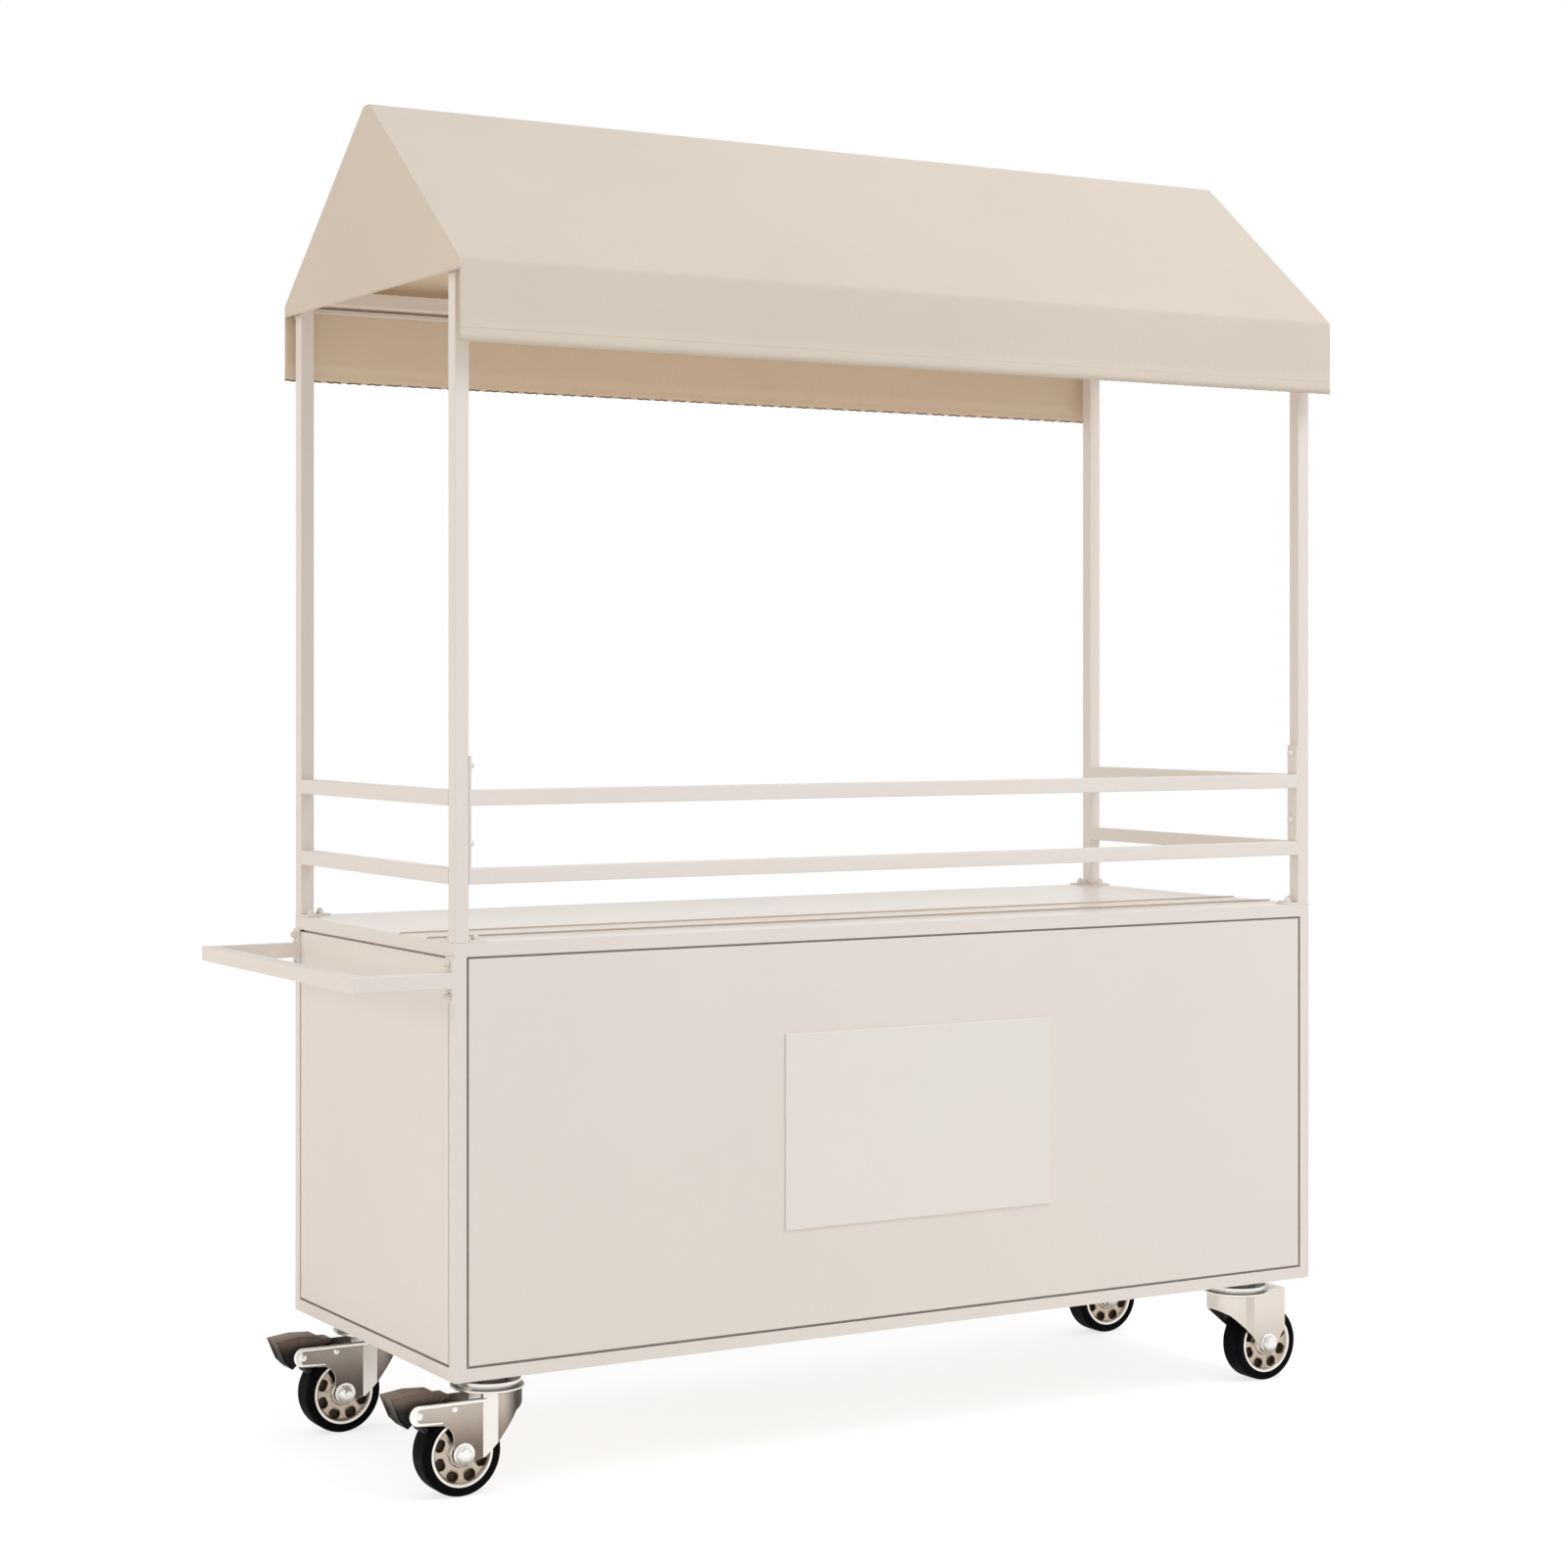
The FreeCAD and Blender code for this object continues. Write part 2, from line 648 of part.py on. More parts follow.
def fork(brake):
    """A pressed fork: two legs and a round nose under a round crown.

    The swivel axis is at the origin and the wheel trails towards +X.
    """
    low = wheel_radius
    top = fork_top_height
    back = arm_end + 2 * arm_radius
    shell = fork_plan(0, back).extrude(Vector(0, 0, top))
    shell = shell.cut(fork_plan(fork_sheet, back + overrun).extrude(Vector(0, 0, top - fork_sheet)))
    boss = axle_boss_radius
    boss_slant = boss * math.sin(math.pi / 4)
    heel = caster_trail + heel_reach
    front = -crown_radius - overrun
    shin_height = brake_shin_height if brake else plain_shin_height
    toe_height = brake_toe_height if brake else plain_toe_height
    outline = [(front, top), (front, nose_bottom_height), (-throat_reach, throat_height),
               (-shin_reach, shin_height, toe_reach, toe_height),
               (caster_trail - boss_slant, low - boss_slant),
               (caster_trail, low - boss, caster_trail + boss_slant, low - boss_slant)]
    if brake:
        outline += [(caster_trail + boss, low + boss),
                    (caster_trail + arm_bend_back, arm_bend_height,
                     caster_trail + arm_root_back, arm_root_height),
                    (arm_end, arm_height - arm_radius),
                    (arm_end + arm_radius, arm_height, arm_end, arm_height + arm_radius),
                    (fold_back, arm_height + arm_radius), (fold_back, top)]
    else:
        outline += [(heel, heel_height), (heel, top)]
    outline.append(outline[0])
    profile = outline_face(outline, lambda x, z: Vector(x, -crown_radius, z))
    profile = profile.extrude(Vector(0, 2 * crown_radius, 0))
    crown = Part.makeCylinder(crown_radius, fork_sheet, Vector(0, 0, top - fork_sheet))
    race = Part.makeCylinder(race_radius, race_height, Vector(0, 0, top))
    body = shell.common(profile).fuse([crown, race])
    cuts = [Part.makeCylinder(kingpin_radius + kingpin_fit, top, Vector(0, 0, top / 2)),
            across(axle_radius, caster_trail, low, fork_half_width)]
    if brake:
        cuts.append(across(pedal_pin_radius, arm_end, arm_height, fork_half_width))
    return body.cut(cuts).removeSplitter()


def across(radius, x, z, half):
    """A round bar along the axle's direction, as long on either side of the middle."""
    return Part.makeCylinder(radius, 2 * half, Vector(x, -half, z), Vector(0, 1, 0))


def axle_bolt(brake):
    """The axle with its two capped heads, and the brake's pivot pin with its rivet heads."""
    half = fork_half_width
    bolt = across(axle_radius, caster_trail, wheel_radius, half)
    for side in (-1, 1):
        head = capped_head(axle_head_flats, axle_head_height, axle_head_bevel)
        turn = FreeCAD.Rotation(Vector(0, 0, 1), Vector(0, side, 0))
        head.Placement = FreeCAD.Placement(Vector(caster_trail, side * half, wheel_radius), turn)
        bolt = bolt.fuse(head)
    if not brake:
        return bolt
    pin = across(pedal_pin_radius, arm_end, arm_height, half)
    heads = across(pedal_pin_head_radius, arm_end, arm_height, half + pedal_pin_head)
    heads = heads.cut(across(pedal_pin_head_radius + overrun, arm_end, arm_height, half))
    return Part.makeCompound([bolt, pin.fuse(heads)])


def wheel_revolve(half_section):
    """A ring about the wheel's axle, from the radii and half widths of one side of its section."""
    section_points = half_section + [(radius, -along) for radius, along in reversed(half_section)]
    corners = [Vector(caster_trail, along, wheel_radius + radius) for radius, along in section_points]
    corners.append(corners[0])
    face = Part.Face(Part.makePolygon(corners))
    return face.revolve(Vector(caster_trail, 0, wheel_radius), Vector(0, 1, 0), 360)


def rim():
    """The wheel's rim and its hub bearing, with a ring of pockets in either face."""
    half_rim = wheel_width / 2 - rim_dish
    half_hub = fork_gap / 2 - hub_side_gap
    body = wheel_revolve([(axle_radius + axle_fit, half_hub), (hub_radius, half_hub), (hub_radius, half_rim),
                          (rim_radius, half_rim)])
    pocket = Part.makeBox(pocket_length, half_rim, pocket_width,
                          Vector(-pocket_length / 2, rim_web / 2, pocket_radius - pocket_width / 2))
    pocket = pocket.makeChamfer(pocket_corner, edges_along(pocket, 1))
    pockets = []
    for index in range(pocket_count):
        turn = FreeCAD.Rotation(Vector(0, 1, 0), 360 * (index + 1 / 2) / pocket_count)
        for shape in (pocket, pocket.mirror(Vector(0, 0, 0), Vector(0, 1, 0))):
            cutter = shape.copy()
            cutter.Placement = FreeCAD.Placement(Vector(caster_trail, 0, wheel_radius), turn)
            pockets.append(cutter)
    return body.cut(pockets)


def tyre():
    """The rubber tyre, with bevelled shoulders."""
    half = wheel_width / 2
    return wheel_revolve([(rim_radius, half), (wheel_radius - tyre_shoulder_drop, half),
                          (wheel_radius, half - tyre_shoulder_width)])


def pedal():
    """The brake pedal: a hub on the pivot pin, a wide pad, a lever over the wheel and a shoe at the tyre."""
    body = across(pedal_hub_radius, arm_end, arm_height, pedal_hub_width / 2)
    for shares, reach, rise, width in ((pad_shares, pedal_reach, pedal_rise, pedal_pad_width),
                                       (lever_shares, pedal_lever_reach, pedal_rise, pedal_lever_width),
                                       (shoe_shares, pedal_shoe_reach, pedal_shoe_drop, pedal_shoe_width)):
        corners = [Vector(arm_end + x * reach, -width / 2, arm_height + z * rise) for x, z in shares]
        corners.append(corners[0])
        body = body.fuse(Part.Face(Part.makePolygon(corners)).extrude(Vector(0, width, 0)))
    return body.cut(across(pedal_pin_radius + pedal_pin_fit, arm_end, arm_height,
                           pedal_hub_width)).removeSplitter()


def casters():
    """Four swivel casters; the two at the handle end have brakes."""
    caster_plates()
    wheel_pieces = {"caster_rim": rim(), "caster_tyre": tyre()}
    for name_x, sx in (("left", -1), ("right", 1)):
        brake = sx < 0
        pieces = dict(wheel_pieces, caster_fork=fork(brake), caster_axle=axle_bolt(brake))
        if brake:
            pieces["brake_pedal"] = pedal()
        turn = FreeCAD.Rotation(Vector(0, 0, 1), 180 if brake else 0)
        for name_y, sy in (("front", -1), ("rear", 1)):
            place = Vector(sx * (half_length - caster_inset_x) + origin_x,
                           sy * (half_width - caster_inset_y) + origin_y, 0)
            for name, shape in pieces.items():
                piece = shape.copy()
                piece.Placement = FreeCAD.Placement(place, turn).multiply(shape.Placement)
                parts[name + "_" + name_y + "_" + name_x] = piece


def build():
    """Make every node and write it."""
    os.makedirs("parts", exist_ok=True)
    cabinet_frame()
    cabinet_panels()
    cabinet_decks()
    counter()
    bare_plate()
    posts()
    guard_rails()
    push_handle()
    canopy_frame()
    canopy_cloth()
    casters()
    for name, shape in parts.items():
        shape.exportStep("parts/" + name + ".step")
    print(len(parts), "nodes")


build()
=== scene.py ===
import math

import bmesh
import bpy
from mathutils import Matrix, Vector, noise


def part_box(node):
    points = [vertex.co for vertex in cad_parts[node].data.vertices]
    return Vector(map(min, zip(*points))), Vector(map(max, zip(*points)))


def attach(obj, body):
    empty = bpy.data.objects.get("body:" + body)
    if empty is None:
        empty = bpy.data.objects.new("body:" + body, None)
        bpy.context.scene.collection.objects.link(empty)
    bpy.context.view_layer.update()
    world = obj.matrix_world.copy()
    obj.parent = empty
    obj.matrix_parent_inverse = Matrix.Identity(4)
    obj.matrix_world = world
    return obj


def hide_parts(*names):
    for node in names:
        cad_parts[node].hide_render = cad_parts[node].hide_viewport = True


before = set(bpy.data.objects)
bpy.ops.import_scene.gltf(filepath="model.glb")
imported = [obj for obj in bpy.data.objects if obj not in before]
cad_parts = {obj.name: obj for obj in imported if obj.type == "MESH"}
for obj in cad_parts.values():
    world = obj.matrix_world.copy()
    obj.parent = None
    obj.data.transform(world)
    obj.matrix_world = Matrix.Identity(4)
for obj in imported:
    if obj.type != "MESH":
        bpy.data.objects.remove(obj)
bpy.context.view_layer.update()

# Camera, fitted to the photograph
camera_place = (-2.5906, -4.2249, 1.1884)
camera_turn = 29.38
camera_lens = 69.3
camera_shift_x = 0.0719
camera_shift_y = -0.0633
sensor_width = 36.0

# Light
sky_strength = 0.6
key_power = 114.0
key_size = 2.4
key_place = (2.0, -3.2, 5.6)
key_colour = (0.98, 0.99, 1.01)
fill_power = 53.0
fill_size = 2.4
fill_place = (-6.3, 0.9, 1.9)
fill_colour = (1.0, 0.84, 0.68)
floor_glow = 0.72
floor_share = 0.5
look_height = 1.0
backdrop_half = 60.0

# Colours as they look on screen
cream = (240, 231, 223)
# A lighter cream painted on sharp edges as a painted highlight
cream_highlight = (246, 240, 233)
plate_white = (243, 240, 235)
cloth_cream = (227, 215, 201)
cloth_thread = (218, 204, 188)
# Warmer tone of the cover's inner side: painted warm bounce light
cloth_inside = (238, 219, 196)
stitch_tone = (212, 197, 180)
hem_tone = (138, 114, 90)
# Painted shade in the gaps and corners of the paint, and of the metal
gap_shade = (122, 90, 68)
metal_gap_shade = (34, 29, 26)
joint_brown = (213, 196, 177)
# Fork tones from the foot of the legs (low) to the top (high), a painted shade: the front-left set, the
# darker rear-left set and the lighter right-hand set are shaded and lit copies of one zinc plating
zinc_high = (200, 188, 177)
zinc_low = (116, 100, 90)
zinc_dim_high = (166, 156, 147)
zinc_dim_low = (84, 74, 67)
zinc_lit_high = (224, 215, 206)
zinc_lit_low = (206, 195, 184)
# Pale zinc of the caster tops and the foot of the highlight metal; near-white zinc for painted highlights on
# edges, crowns and rims
zinc_pale = (236, 231, 224)
zinc_highlight = (250, 247, 241)
aluminium = (206, 192, 176)
# Dark of the rim's recesses and of the foot of the rim, a painted shade
recess_dark = (104, 84, 68)
rubber_black = (5, 5, 6)
rubber_dust = (12, 11, 11)
# The pedal's plastic, lighter at the top and darker below as painted light and shade
pedal_high = (140, 121, 107)
pedal_low = (30, 25, 23)
# Painted shade in the pedal's hollows
pedal_hollow_shade = (26, 21, 20)
# Painted shade on the rounded nose of the left forks
nose_shade = (52, 45, 41)
# Painted shade at the foot of the axle nuts
nut_shade = (150, 140, 132)
floor_warm = (255, 252, 248)
nut_cream = (241, 235, 227)
# Near-white top of the axle nuts and rivets, a painted highlight; also the top tone of the arms' highlight
nut_bright = (252, 250, 246)

# Surfaces: the plain roughness and the strength of the mirror
cloth_gloss = (0.78, 0.25)
inside_gloss = (0.85, 0.15)
rubber_gloss = (0.75, 0.06)
plastic_gloss = (0.5, 0.25)
floor_gloss = (0.9, 0.1)
paint_mirror = 0.45
paint_roughness = 0.42
plate_roughness = 0.38
nut_roughness = 0.35
counter_roughness = 0.3
bright_roughness = 0.3
white_roughness = 0.35
zinc_roughness = 0.34
rim_roughness = 0.42
sheen_weight = 0.12
sheen_roughness = 0.55

# Tones that a noise mixes in: its scale, its detail and the largest share
paint_flecks = (170, 5, 0.35)
cloth_threads = (420, 4, 0.3)
metal_clouds = (18, 3, 0.16)
metal_flecks = (240, 5, 0.1)
rubber_scuffs = (70, 6, 0.5)
plastic_mottle = (40, 3, 0.3)
floor_drift = (0.8, 3, 1)
paint_drift = 2.2
cloth_drift = 1.7
inside_drift = 1.9
drift_dark = 0.985
paint_light = 1.01
cloth_light = 1.012
fleck_shade = 0.975
thread_shade = 0.95
floor_shade = 0.99
noise_low = 0.3
noise_high = 0.7
# Painted highlight on sharp edges: the pointiness where it starts and where it is full, and its largest share
edge_highlight_start = 0.53
edge_highlight_end = 0.62
edge_highlight_share = 0.5
shelter_samples = 6

# Uneven roughness: the noise's scale, and how far it goes below and above the plain value
paint_unevenness = (30, 0.06, 0.07)
cloth_unevenness = (24, 0.08, 0.07)
inside_unevenness = (24, 0.07, 0.07)
metal_unevenness = (40, 0.04, 0.06)
rubber_unevenness = (45, 0.13, 0.05)
plastic_unevenness = (60, 0.08, 0.1)

# Relief: the noise's scale and detail, the height in metres and the strength
paint_relief = (900, 2, 0.00012, 0.35)
cloth_relief = (9, 3, 0.0008, 0.3)
inside_relief = (700, 2, 0.0001, 0.2)
rubber_relief = (800, 3, 0.0001, 0.5)
plastic_relief = (650, 2, 0.00015, 0.6)
grain_scale = 500
grain_height = 0.00004
grain_relief = 0.25
faint_relief = 0.05
faintest_relief = 0.02
weave_height = 0.00012
weave_strength = 0.12
seam_height = 0.0002
seam_strength = 0.3

# Canopy cover
cloth_thickness = 0.0012
valance_height = 0.120
hem_height = 0.020
hem_swell = 0.0007
hem_step = 0.001
hem_rows = 4
stitch_width = 0.0007
edge_stitch_width = 0.0024
edge_stitch_pitch = 0.036
stitch_pitch = 0.0045
stitch_share = 0.7
thread_pitch = 0.0011
valance_rows = 6
eave_radius = 0.009
ridge_radius = 0.008
slope_sag = 0.006
slope_ripple = 0.002
ripple_pitch = 3.1
ripple_rows = 2.2
rafter_inset = 0.0217
end_hold = 0.08
valance_wave = 0.0035
gable_wave = 0.003
gable_pitch = 4.6
gable_slack = 0.12
pucker_pitch = 0.0165
front_pucker = 0.0003
back_pucker = 0.0006
gable_hem_front = 0.017
gable_hem_back = 0.018
cloth_step = 0.0041
slope_rows = 26
gable_columns = 44
arc_steps = 4
swing_pitch = 2.3
swing_seed = (7.0, 0.5)
flutter_pitch = 7.0
flutter_seed = (3.0, 2.0)
flutter_share = 0.4
hang_power = 1.5
end_swing = 0.3
hem_band_rows = 2
gather_pitch = 60
gather_share = 0.5
drop_start = 0.6
push_start = 0.5
cover_angle = 40

# Wheels
wheel_segments = 96
tyre_lap = 0.001
tyre_lip = 0.0015
tyre_edge_radius = 0.006
tyre_edge_steps = 6
tyre_edge_start = 75
tyre_edge_end = 12
tyre_shoulder_share = 1.7
tyre_angle = 50
rim_lip_width = 0.0038
rim_lip_depth = 0.0022
rim_dish_depth = 0.0035
rim_recess_count = 8
rim_recess_radius = 0.036
rim_recess_length = 0.0195
rim_recess_width = 0.0145
rim_recess_depth = 0.0085
recess_sides = 28
hub_ring_radius = 0.020
hub_bevel = 0.001
rim_flare = 0.004
axle_bore = 0.00505
axle_play = 0.00005
hub_side_gap = 0.0003
fork_sheet = 0.003
pin_radius = 0.004

# Small pieces
nut_sides = 6
dome_segments = 24
dome_rings = 6
nut_corner_radius = 0.00635
nut_dome_radius = 0.0048
nut_hexagon_share = 0.47
nut_rim_share = 0.85
nut_taper_share = 0.88
axle_nut_corner_radius = 0.0137
axle_nut_dome_radius = 0.0106
washer_radius = 0.0172
washer_height = 0.002
washer_taper = washer_height / 3
rivet_radius = 0.0052
rivet_height = 0.003
rivet_back = 0.015
rivet_up = 0.0681
bead_width = 0.0058
bead_tip_width = 0.0125
bead_height = 0.0018
bead_steps = 6
wheel_trail = 0.050
arm_radius = 0.015
arm_root_back = 0.034
arm_turns = 12
crown_low = 0.1545
leg_band_share = 0.5
# How far the painted shade in gaps looks, and how open a place is before it darkens
gap_reach = 0.022
gap_share = 0.42
metal_gap_reach = 0.05
metal_gap_share = 0.6
# Where the painted shade on a fork's nose starts and is full, measured from the swivel axis
nose_start = 0.010
nose_end = 0.036
# Heights over which the axle nuts go from painted shade to painted highlight
nut_low = 0.046
nut_high = 0.066
hollow_rim = 0.0042
hollow_depth = 0.003
hollow_area = 0.0006
hollow_facing = 0.5
bevel_steps = 3
fork_angle = 8
# Faces of the step where each leg bends outwards, which get a painted highlight or a painted shade
step_face_turn_shares = (0.955, 0.992)
step_face_area = 0.0002
joint_dust = 0.0025
seal_width = 0.0035
seal_height = 0.0022
seal_sink = 0.0008
seal_end = 0.002
seal_steps = 6
pedal_bevel = 0.0028
steel_bevel = 0.0009
leg_low = 0.065
leg_high = 0.145
leg_grain = (1, 1, 0.15)
wheel_shade = 0.06
# Heights over which the pedal goes from painted shade to painted light
pedal_shade_low = 0.132
pedal_shade_high = 0.158
weld_distance = 0.00001
flat_angle = 0.01
soften_angle = 0.5
smooth_angle = 35


def srgb(colour):
    """A screen colour as the linear values that a shader takes."""
    shares = [channel / 255 for channel in colour]
    linear = [share / 12.92 if share <= 0.04045 else ((share + 0.055) / 1.055) ** 2.4 for share in shares]
    return (*linear, 1.0)


def shaded(colour, share):
    """A colour made darker or lighter by a share."""
    return tuple(min(255, channel * share) for channel in colour)


class Surface:
    """A material in the making: a Principled shader and the nodes that feed it."""

    def __init__(self, name, roughness, specular=0.5, metallic=0.0):
        self.material = bpy.data.materials.new(name)
        self.material.use_nodes = True
        self.tree = self.material.node_tree
        self.shader = self.tree.nodes["Principled BSDF"]
        self.shader.inputs["Metallic"].default_value = metallic
        self.shader.inputs["Roughness"].default_value = roughness
        self.shader.inputs["Specular IOR Level"].default_value = specular
        place = self.tree.nodes.new("ShaderNodeTexCoord")
        self.place = place.outputs["Object"]
        self.sheet_place = place.outputs["UV"]
        self.plain_roughness = roughness
        self.normal = None

    def link(self, output, socket):
        self.tree.links.new(output, socket)

    def noise(self, scale, detail=3.0, stretch=(1, 1, 1)):
        """A noise pattern in metres, longer along an axis where stretch is small."""
        mapping = self.tree.nodes.new("ShaderNodeMapping")
        mapping.inputs["Scale"].default_value = stretch
        self.link(self.place, mapping.inputs["Vector"])
        pattern = self.tree.nodes.new("ShaderNodeTexNoise")
        pattern.inputs["Scale"].default_value = scale
        pattern.inputs["Detail"].default_value = detail
        self.link(mapping.outputs["Vector"], pattern.inputs["Vector"])
        return pattern.outputs["Fac"]

    def axes(self, place):
        """The outputs with the coordinates of a place, by their letters."""
        separate = self.tree.nodes.new("ShaderNodeSeparateXYZ")
        self.link(place, separate.inputs["Vector"])
        return separate.outputs

    def ramp(self, value, first, last, low=0.0, high=1.0, smooth=False):
        """A value that goes from low to high while another goes from first to last."""
        ramp = self.tree.nodes.new("ShaderNodeMapRange")
        if smooth:
            ramp.interpolation_type = "SMOOTHSTEP"
        ends = {"From Min": first, "From Max": last, "To Min": low, "To Max": high}
        for name, end in ends.items():
            ramp.inputs[name].default_value = end
        self.link(value, ramp.inputs["Value"])
        return ramp.outputs["Result"]

    def spread(self, noise, low, high):
        """The common values of a noise, spread over another range."""
        return self.ramp(noise, noise_low, noise_high, low, high)

    def rise(self, low, high, axis="Z"):
        """A 0 to 1 value that grows along an axis, upwards unless another is named."""
        return self.ramp(self.axes(self.place)[axis], low, high, smooth=True)

    def mix(self, share, first, second):
        """Two colours mixed; each is a screen colour or the output of a node."""
        mixer = self.tree.nodes.new("ShaderNodeMix")
        mixer.data_type = "RGBA"
        self.link(share, mixer.inputs["Factor"])
        for colour, socket in ((first, mixer.inputs[6]), (second, mixer.inputs[7])):
            if isinstance(colour, tuple):
                socket.default_value = srgb(colour)
            else:
                self.link(colour, socket)
        return mixer.outputs[2]

    def blend(self, colour, tone, scale, detail, share):
        """A colour with a tone mixed in by a noise, up to a share."""
        return self.mix(self.spread(self.noise(scale, detail), 0, share), colour, tone)

    def drift(self, colour, scale, lightest):
        """A colour that drifts between a slightly darker and a slightly lighter one."""
        return self.mix(self.spread(self.noise(scale), 0, 1), shaded(colour, drift_dark),
                        shaded(colour, lightest))

    def compute(self, operation, *values):
        """The result of one operation on the outputs of nodes and plain numbers."""
        node = self.tree.nodes.new("ShaderNodeMath")
        node.operation = operation
        for value, socket in zip(values, node.inputs):
            if isinstance(value, (int, float)):
                socket.default_value = value
            else:
                self.link(value, socket)
        return node.outputs["Value"]

    def within(self, value, place, reach):
        """A value of 1 where a value lies within a reach of a place, and 0 elsewhere."""
        return self.compute("COMPARE", value, place, reach)

    def dashes(self, along, pitch):
        """A value of 1 on every stitch of a row, and 0 between them."""
        return self.compute("LESS_THAN", self.compute("FRACT", self.compute("DIVIDE", along, pitch)),
                            stitch_share)

    def crevice_shade(self, colour, tone, reach, share):
        """Painted shade: a colour that falls to a darker tone where less than a share of what lies in reach
        is open.
        """
        shelter = self.tree.nodes.new("ShaderNodeAmbientOcclusion")
        shelter.samples = shelter_samples
        shelter.inputs["Distance"].default_value = reach
        return self.mix(self.ramp(shelter.outputs["AO"], 0, share), tone, colour)

    def colour(self, output):
        self.link(output, self.shader.inputs["Base Color"])

    def uneven(self, scale, below, above):
        """Roughness that varies about the plain value."""
        plain = self.plain_roughness
        self.link(self.spread(self.noise(scale), plain - below, plain + above),
                  self.shader.inputs["Roughness"])

    def bump(self, height, distance, strength):
        """Relief on top of the relief that is there already."""
        bump = self.tree.nodes.new("ShaderNodeBump")
        bump.inputs["Distance"].default_value = distance
        bump.inputs["Strength"].default_value = strength
        self.link(height, bump.inputs["Height"])
        if self.normal is not None:
            self.link(self.normal, bump.inputs["Normal"])
        self.normal = bump.outputs["Normal"]
        self.link(self.normal, self.shader.inputs["Normal"])

    def relief(self, scale, detail, distance, strength):
        """Relief in the shape of a noise."""
        self.bump(self.noise(scale, detail), distance, strength)


def paint(name, colour, roughness, joints=()):
    """Powder-coated steel: a faint orange-peel relief, slight colour drift, sharp edges painted lighter as a
    painted highlight, and painted shade in gaps and corners.

    Joints are the places across the cart where dust has gathered in a line. A surface with joints is smooth.
    """
    surface = Surface(name, roughness, paint_mirror)
    drift = surface.drift(colour, paint_drift, paint_light)
    fleck = surface.blend(drift, shaded(colour, fleck_shade), *paint_flecks)
    geometry = surface.tree.nodes.new("ShaderNodeNewGeometry")
    # Sharp edges painted lighter: a painted highlight
    edge_highlight = surface.ramp(geometry.outputs["Pointiness"], edge_highlight_start, edge_highlight_end, high=edge_highlight_share)
    highlighted_and_dusted = surface.mix(edge_highlight, fleck, cream_highlight)
    if joints:
        across = surface.axes(surface.place)["Y"]
        for joint in joints:
            highlighted_and_dusted = surface.mix(surface.within(across, joint, joint_dust), highlighted_and_dusted, joint_brown)
    # Painted shade where the surface is closed in
    surface.colour(surface.crevice_shade(highlighted_and_dusted, gap_shade, gap_reach, gap_share))
    if not joints:
        surface.uneven(*paint_unevenness)
        surface.relief(*paint_relief)
    return surface.material


def cloth(name, width):
    """Coated canvas: a fine weave, soft colour drift and a stitched hem along each valance.

    The width is the cover's, from one valance's hem over the ridge to the other's.
    """
    surface = Surface(name, *cloth_gloss)
    surface.shader.inputs["Sheen Weight"].default_value = sheen_weight
    surface.shader.inputs["Sheen Roughness"].default_value = sheen_roughness
    drift = surface.drift(cloth_cream, cloth_drift, cloth_light)
    threads = surface.blend(drift, cloth_thread, *cloth_threads)
    axes = surface.axes(surface.sheet_place)
    along, across = axes["X"], axes["Y"]
    hems = surface.compute("MAXIMUM", surface.within(across, hem_height, stitch_width),
                           surface.within(across, width - hem_height, stitch_width))
    stitches = surface.compute("MULTIPLY", hems, surface.dashes(along, stitch_pitch))
    surface.colour(surface.mix(stitches, threads, stitch_tone))
    surface.uneven(*cloth_unevenness)
    waves = [surface.compute("SINE", surface.compute("MULTIPLY", place, 2 * math.pi / thread_pitch))
             for place in (along, across)]
    surface.bump(surface.compute("MULTIPLY", *waves), weave_height, weave_strength)
    surface.relief(*cloth_relief)
    surface.bump(surface.compute("SUBTRACT", stitches, hems), seam_height, seam_strength)
    return surface.material


def cloth_back(name, width):
    """The uncoated inner side of the canvas: painted warmer as warm bounce light under the cover, plainly
    woven, with a dark thread along the back hem.
    """
    surface = Surface(name, *inside_gloss)
    drift = surface.drift(cloth_inside, inside_drift, cloth_light)
    threads = surface.blend(drift, shaded(cloth_inside, thread_shade), *cloth_threads)
    axes = surface.axes(surface.sheet_place)
    edge = surface.within(axes["Y"], width, edge_stitch_width)
    stitches = surface.compute("MULTIPLY", edge, surface.dashes(axes["X"], edge_stitch_pitch))
    surface.colour(surface.mix(stitches, threads, hem_tone))
    surface.uneven(*inside_unevenness)
    surface.relief(*inside_relief)
    return surface.material


def metal(name, low_tone, high_tone, roughness, low=0.0, high=1.0, grain=(1, 1, 1), relief=grain_relief,
          nose=None):
    """Plated or cast metal: a tone painted darker towards the bottom and lighter towards the top as painted
    shade and light, faint clouds and a fine grain.

    The nose is the stretch along the cart over which a fork's colour darkens to a painted shade on its
    rounded nose.
    """
    surface = Surface(name, roughness, metallic=1.0)
    # Painted shade and light: low_tone at the low height, high_tone at the high one
    tone = surface.mix(surface.rise(low, high), low_tone, high_tone)
    if nose:
        # Painted shade on the fork's nose
        tone = surface.mix(surface.rise(*nose, axis="X"), tone, nose_shade)
    clouds = surface.blend(tone, low_tone, *metal_clouds)
    grained = surface.blend(clouds, high_tone, *metal_flecks)
    # Painted shade in the metal's gaps
    surface.colour(surface.crevice_shade(grained, metal_gap_shade, metal_gap_reach, metal_gap_share))
    surface.uneven(*metal_unevenness)
    surface.bump(surface.noise(grain_scale, stretch=grain), grain_height, relief)
    return surface.material


def rubber(name):
    """Black tyre rubber with dusty scuffs."""
    surface = Surface(name, *rubber_gloss)
    surface.colour(surface.blend(rubber_black, rubber_dust, *rubber_scuffs))
    surface.uneven(*rubber_unevenness)
    surface.relief(*rubber_relief)
    return surface.material


